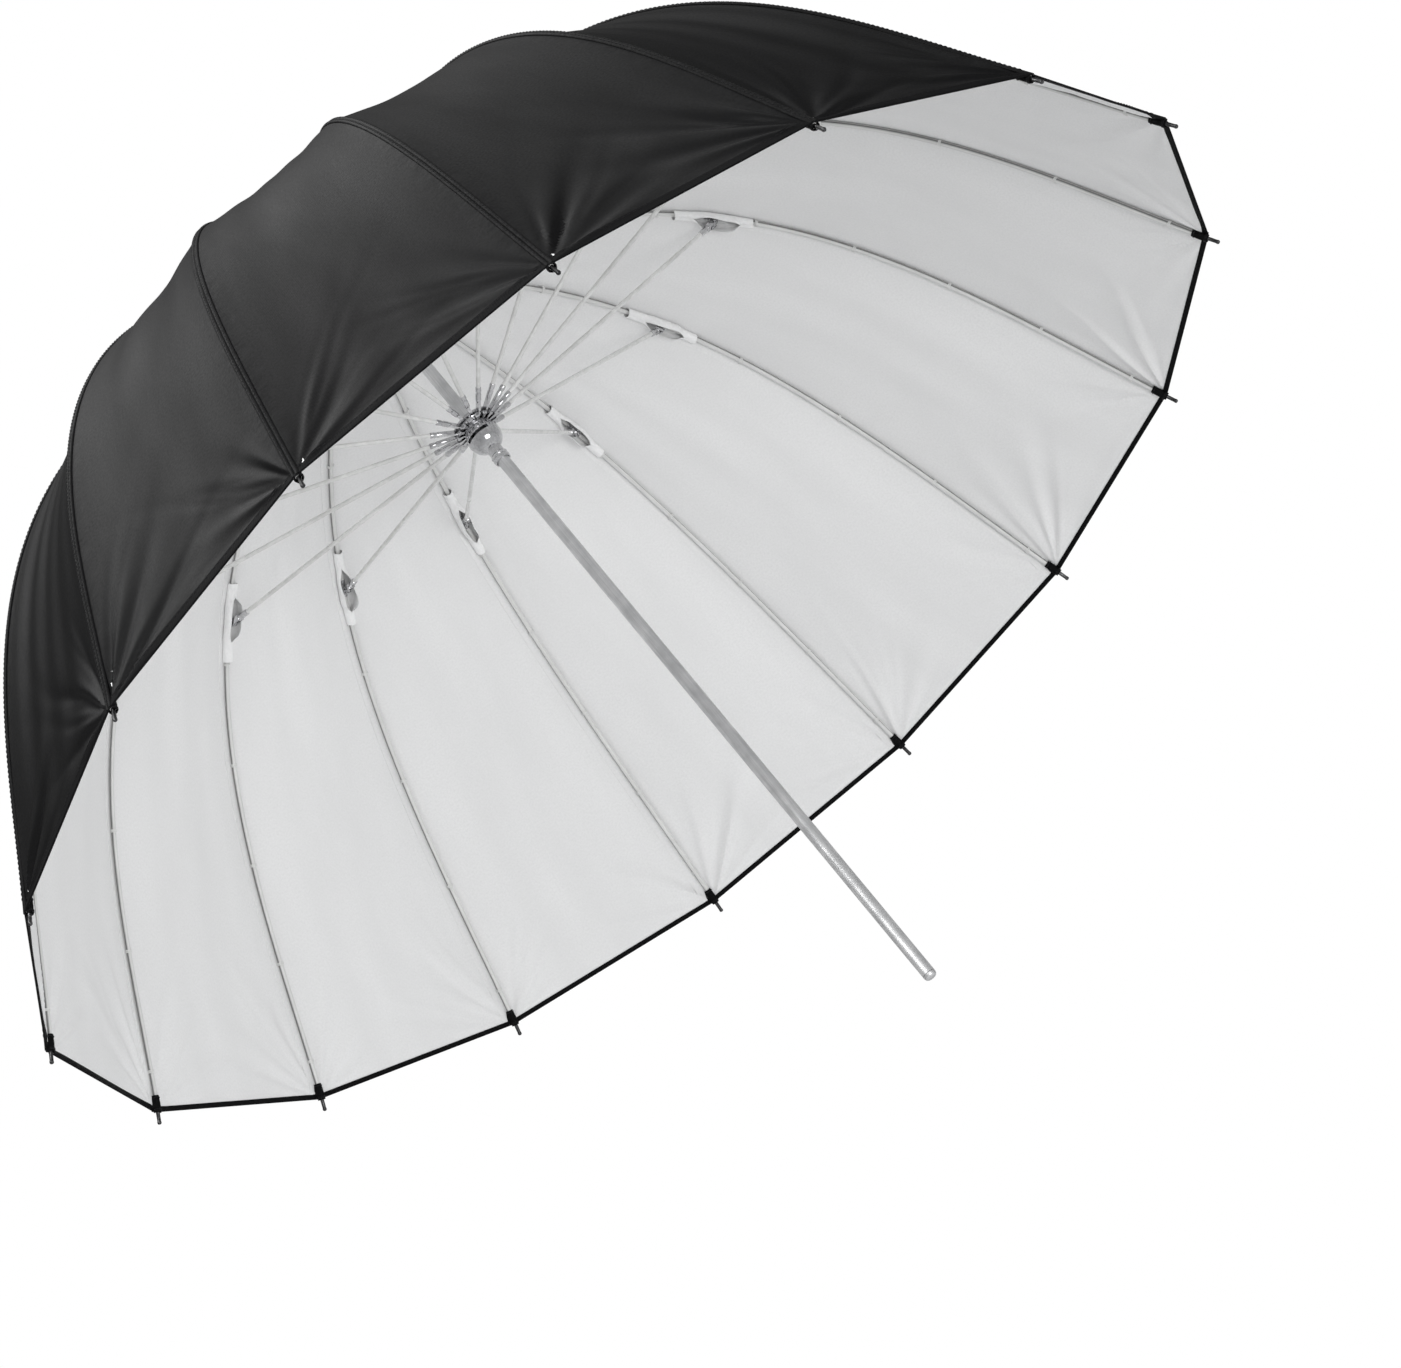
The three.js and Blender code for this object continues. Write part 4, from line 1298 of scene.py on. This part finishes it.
# Studio
# The umbrella hangs open above a plain pale floor, in soft white light. The camera looks up into
# the canopy from below its rim, tilted with the shaft running down to one side.
FLOOR_HEIGHT = -1.7
CAMERA_AZIMUTH = 11.41
CAMERA_ELEVATION = -23.28
CAMERA_ROLL = 39.7
CAMERA_DISTANCE = 2.498
CAMERA_AIM = Vector((0.0056, -0.0012, 0.1277))
CAMERA_LENS = 110.2

floor_finish, tree, shader = new_finish("pale_floor", {"Roughness": 0.75})
patches = noise(tree, on_object(tree), 1.5, 2.0)
tree.links.new(shade(tree, patches, (0.80, 0.80, 0.80), (0.84, 0.84, 0.84)), shader.inputs["Base Color"])
corners = [(9.0 * x, 9.0 * y, FLOOR_HEIGHT) for x, y in ((-1, -1), (1, -1), (1, 1), (-1, 1))]
floor_mesh = bpy.data.meshes.new("floor")
floor_mesh.from_pydata(corners, [], [(0, 1, 2, 3)])
floor_mesh.materials.append(floor_finish)
floor = bpy.data.objects.new("floor", floor_mesh)
bpy.context.collection.objects.link(floor)


def look(from_where, at, roll=0.0):
    """The rotation of a camera or lamp that looks from one place at another, tilted clockwise."""
    aim = (Vector(at) - Vector(from_where)).normalized()
    level = aim.to_track_quat("-Z", "Y").to_matrix()
    return (level @ Matrix.Rotation(-roll, 3, "Z")).to_quaternion()


azimuth, elevation = math.radians(CAMERA_AZIMUTH), math.radians(CAMERA_ELEVATION)
back_away = Vector((
    math.sin(azimuth) * math.cos(elevation), -math.cos(azimuth) * math.cos(elevation), math.sin(elevation)
))
camera = bpy.data.objects.new("camera", bpy.data.cameras.new("camera"))
camera.data.lens = CAMERA_LENS
camera.data.clip_start = 0.05
camera.location = CAMERA_AIM + back_away * CAMERA_DISTANCE
camera.rotation_mode = "QUATERNION"
camera.rotation_quaternion = look(camera.location, CAMERA_AIM, math.radians(CAMERA_ROLL))
bpy.context.collection.objects.link(camera)
bpy.context.scene.camera = camera


def soft_box(name, where, at, size, power, spread=180):
    """A square soft box lamp, whose light spreads by an angle in degrees."""
    lamp = bpy.data.lights.new(name, "AREA")
    lamp.shape = "SQUARE"
    lamp.size = size
    lamp.energy = power
    lamp.spread = math.radians(spread)
    lamp_object = bpy.data.objects.new(name, lamp)
    lamp_object.location = where
    lamp_object.rotation_mode = "QUATERNION"
    lamp_object.rotation_quaternion = look(where, at)
    bpy.context.collection.objects.link(lamp_object)


inside = (0.0, 0.0, 0.3)
soft_box("inside_light", (1.4, -2.0, -1.25), inside, 1.5, 9.4, 90)
soft_box("outside_light", (-0.2, -2.6, 1.5), inside, 1.2, 20, 110)
soft_box("top_light", (-0.6, -0.2, 2.8), inside, 1.8, 17)

world = bpy.data.worlds.new("studio")
world.use_nodes = True
bpy.context.scene.world = world
tree = world.node_tree
lit = tree.nodes["Background"]
lit.inputs["Color"].default_value = (0.98, 0.99, 1.0, 1)
lit.inputs["Strength"].default_value = 0.66
# what bright metal mirrors: a darker room between a bright ceiling and a bright floor
towards = node(tree, "ShaderNodeSeparateXYZ", {"Vector": on_object(tree)})
height = between(tree, towards.outputs["Z"], 0.0, 1.0, -1.0, 1.0)
ramp = node(tree, "ShaderNodeValToRGB", {"Fac": height})
ramp.color_ramp.interpolation = "EASE"
for place, level in (
    (0.28, 0.9), (0.36, 0.10), (0.50, 0.12), (0.60, 0.6), (0.70, 0.6), (0.77, 0.05), (0.86, 0.05),
    (0.95, 0.9), (1.0, 1.0),
):
    stop = ramp.color_ramp.elements.new(place)
    stop.color = (level, level, level, 1)
ramp.color_ramp.elements.remove(ramp.color_ramp.elements[0])
mirrored = node(tree, "ShaderNodeBackground", {"Color": ramp.outputs["Color"], "Strength": 1.0})
seen = node(tree, "ShaderNodeBackground", {"Color": (1, 1, 1, 1), "Strength": 1.0})
ray = node(tree, "ShaderNodeLightPath")
shown = lit
for kind, other in (("Is Glossy Ray", mirrored), ("Is Camera Ray", seen)):
    parts = {0: ray.outputs[kind], 1: shown.outputs[0], 2: other.outputs[0]}
    shown = node(tree, "ShaderNodeMixShader", parts)
tree.links.new(shown.outputs[0], tree.nodes["World Output"].inputs["Surface"])
bpy.context.scene.view_settings.view_transform = "Standard"

bpy.context.view_layer.update()
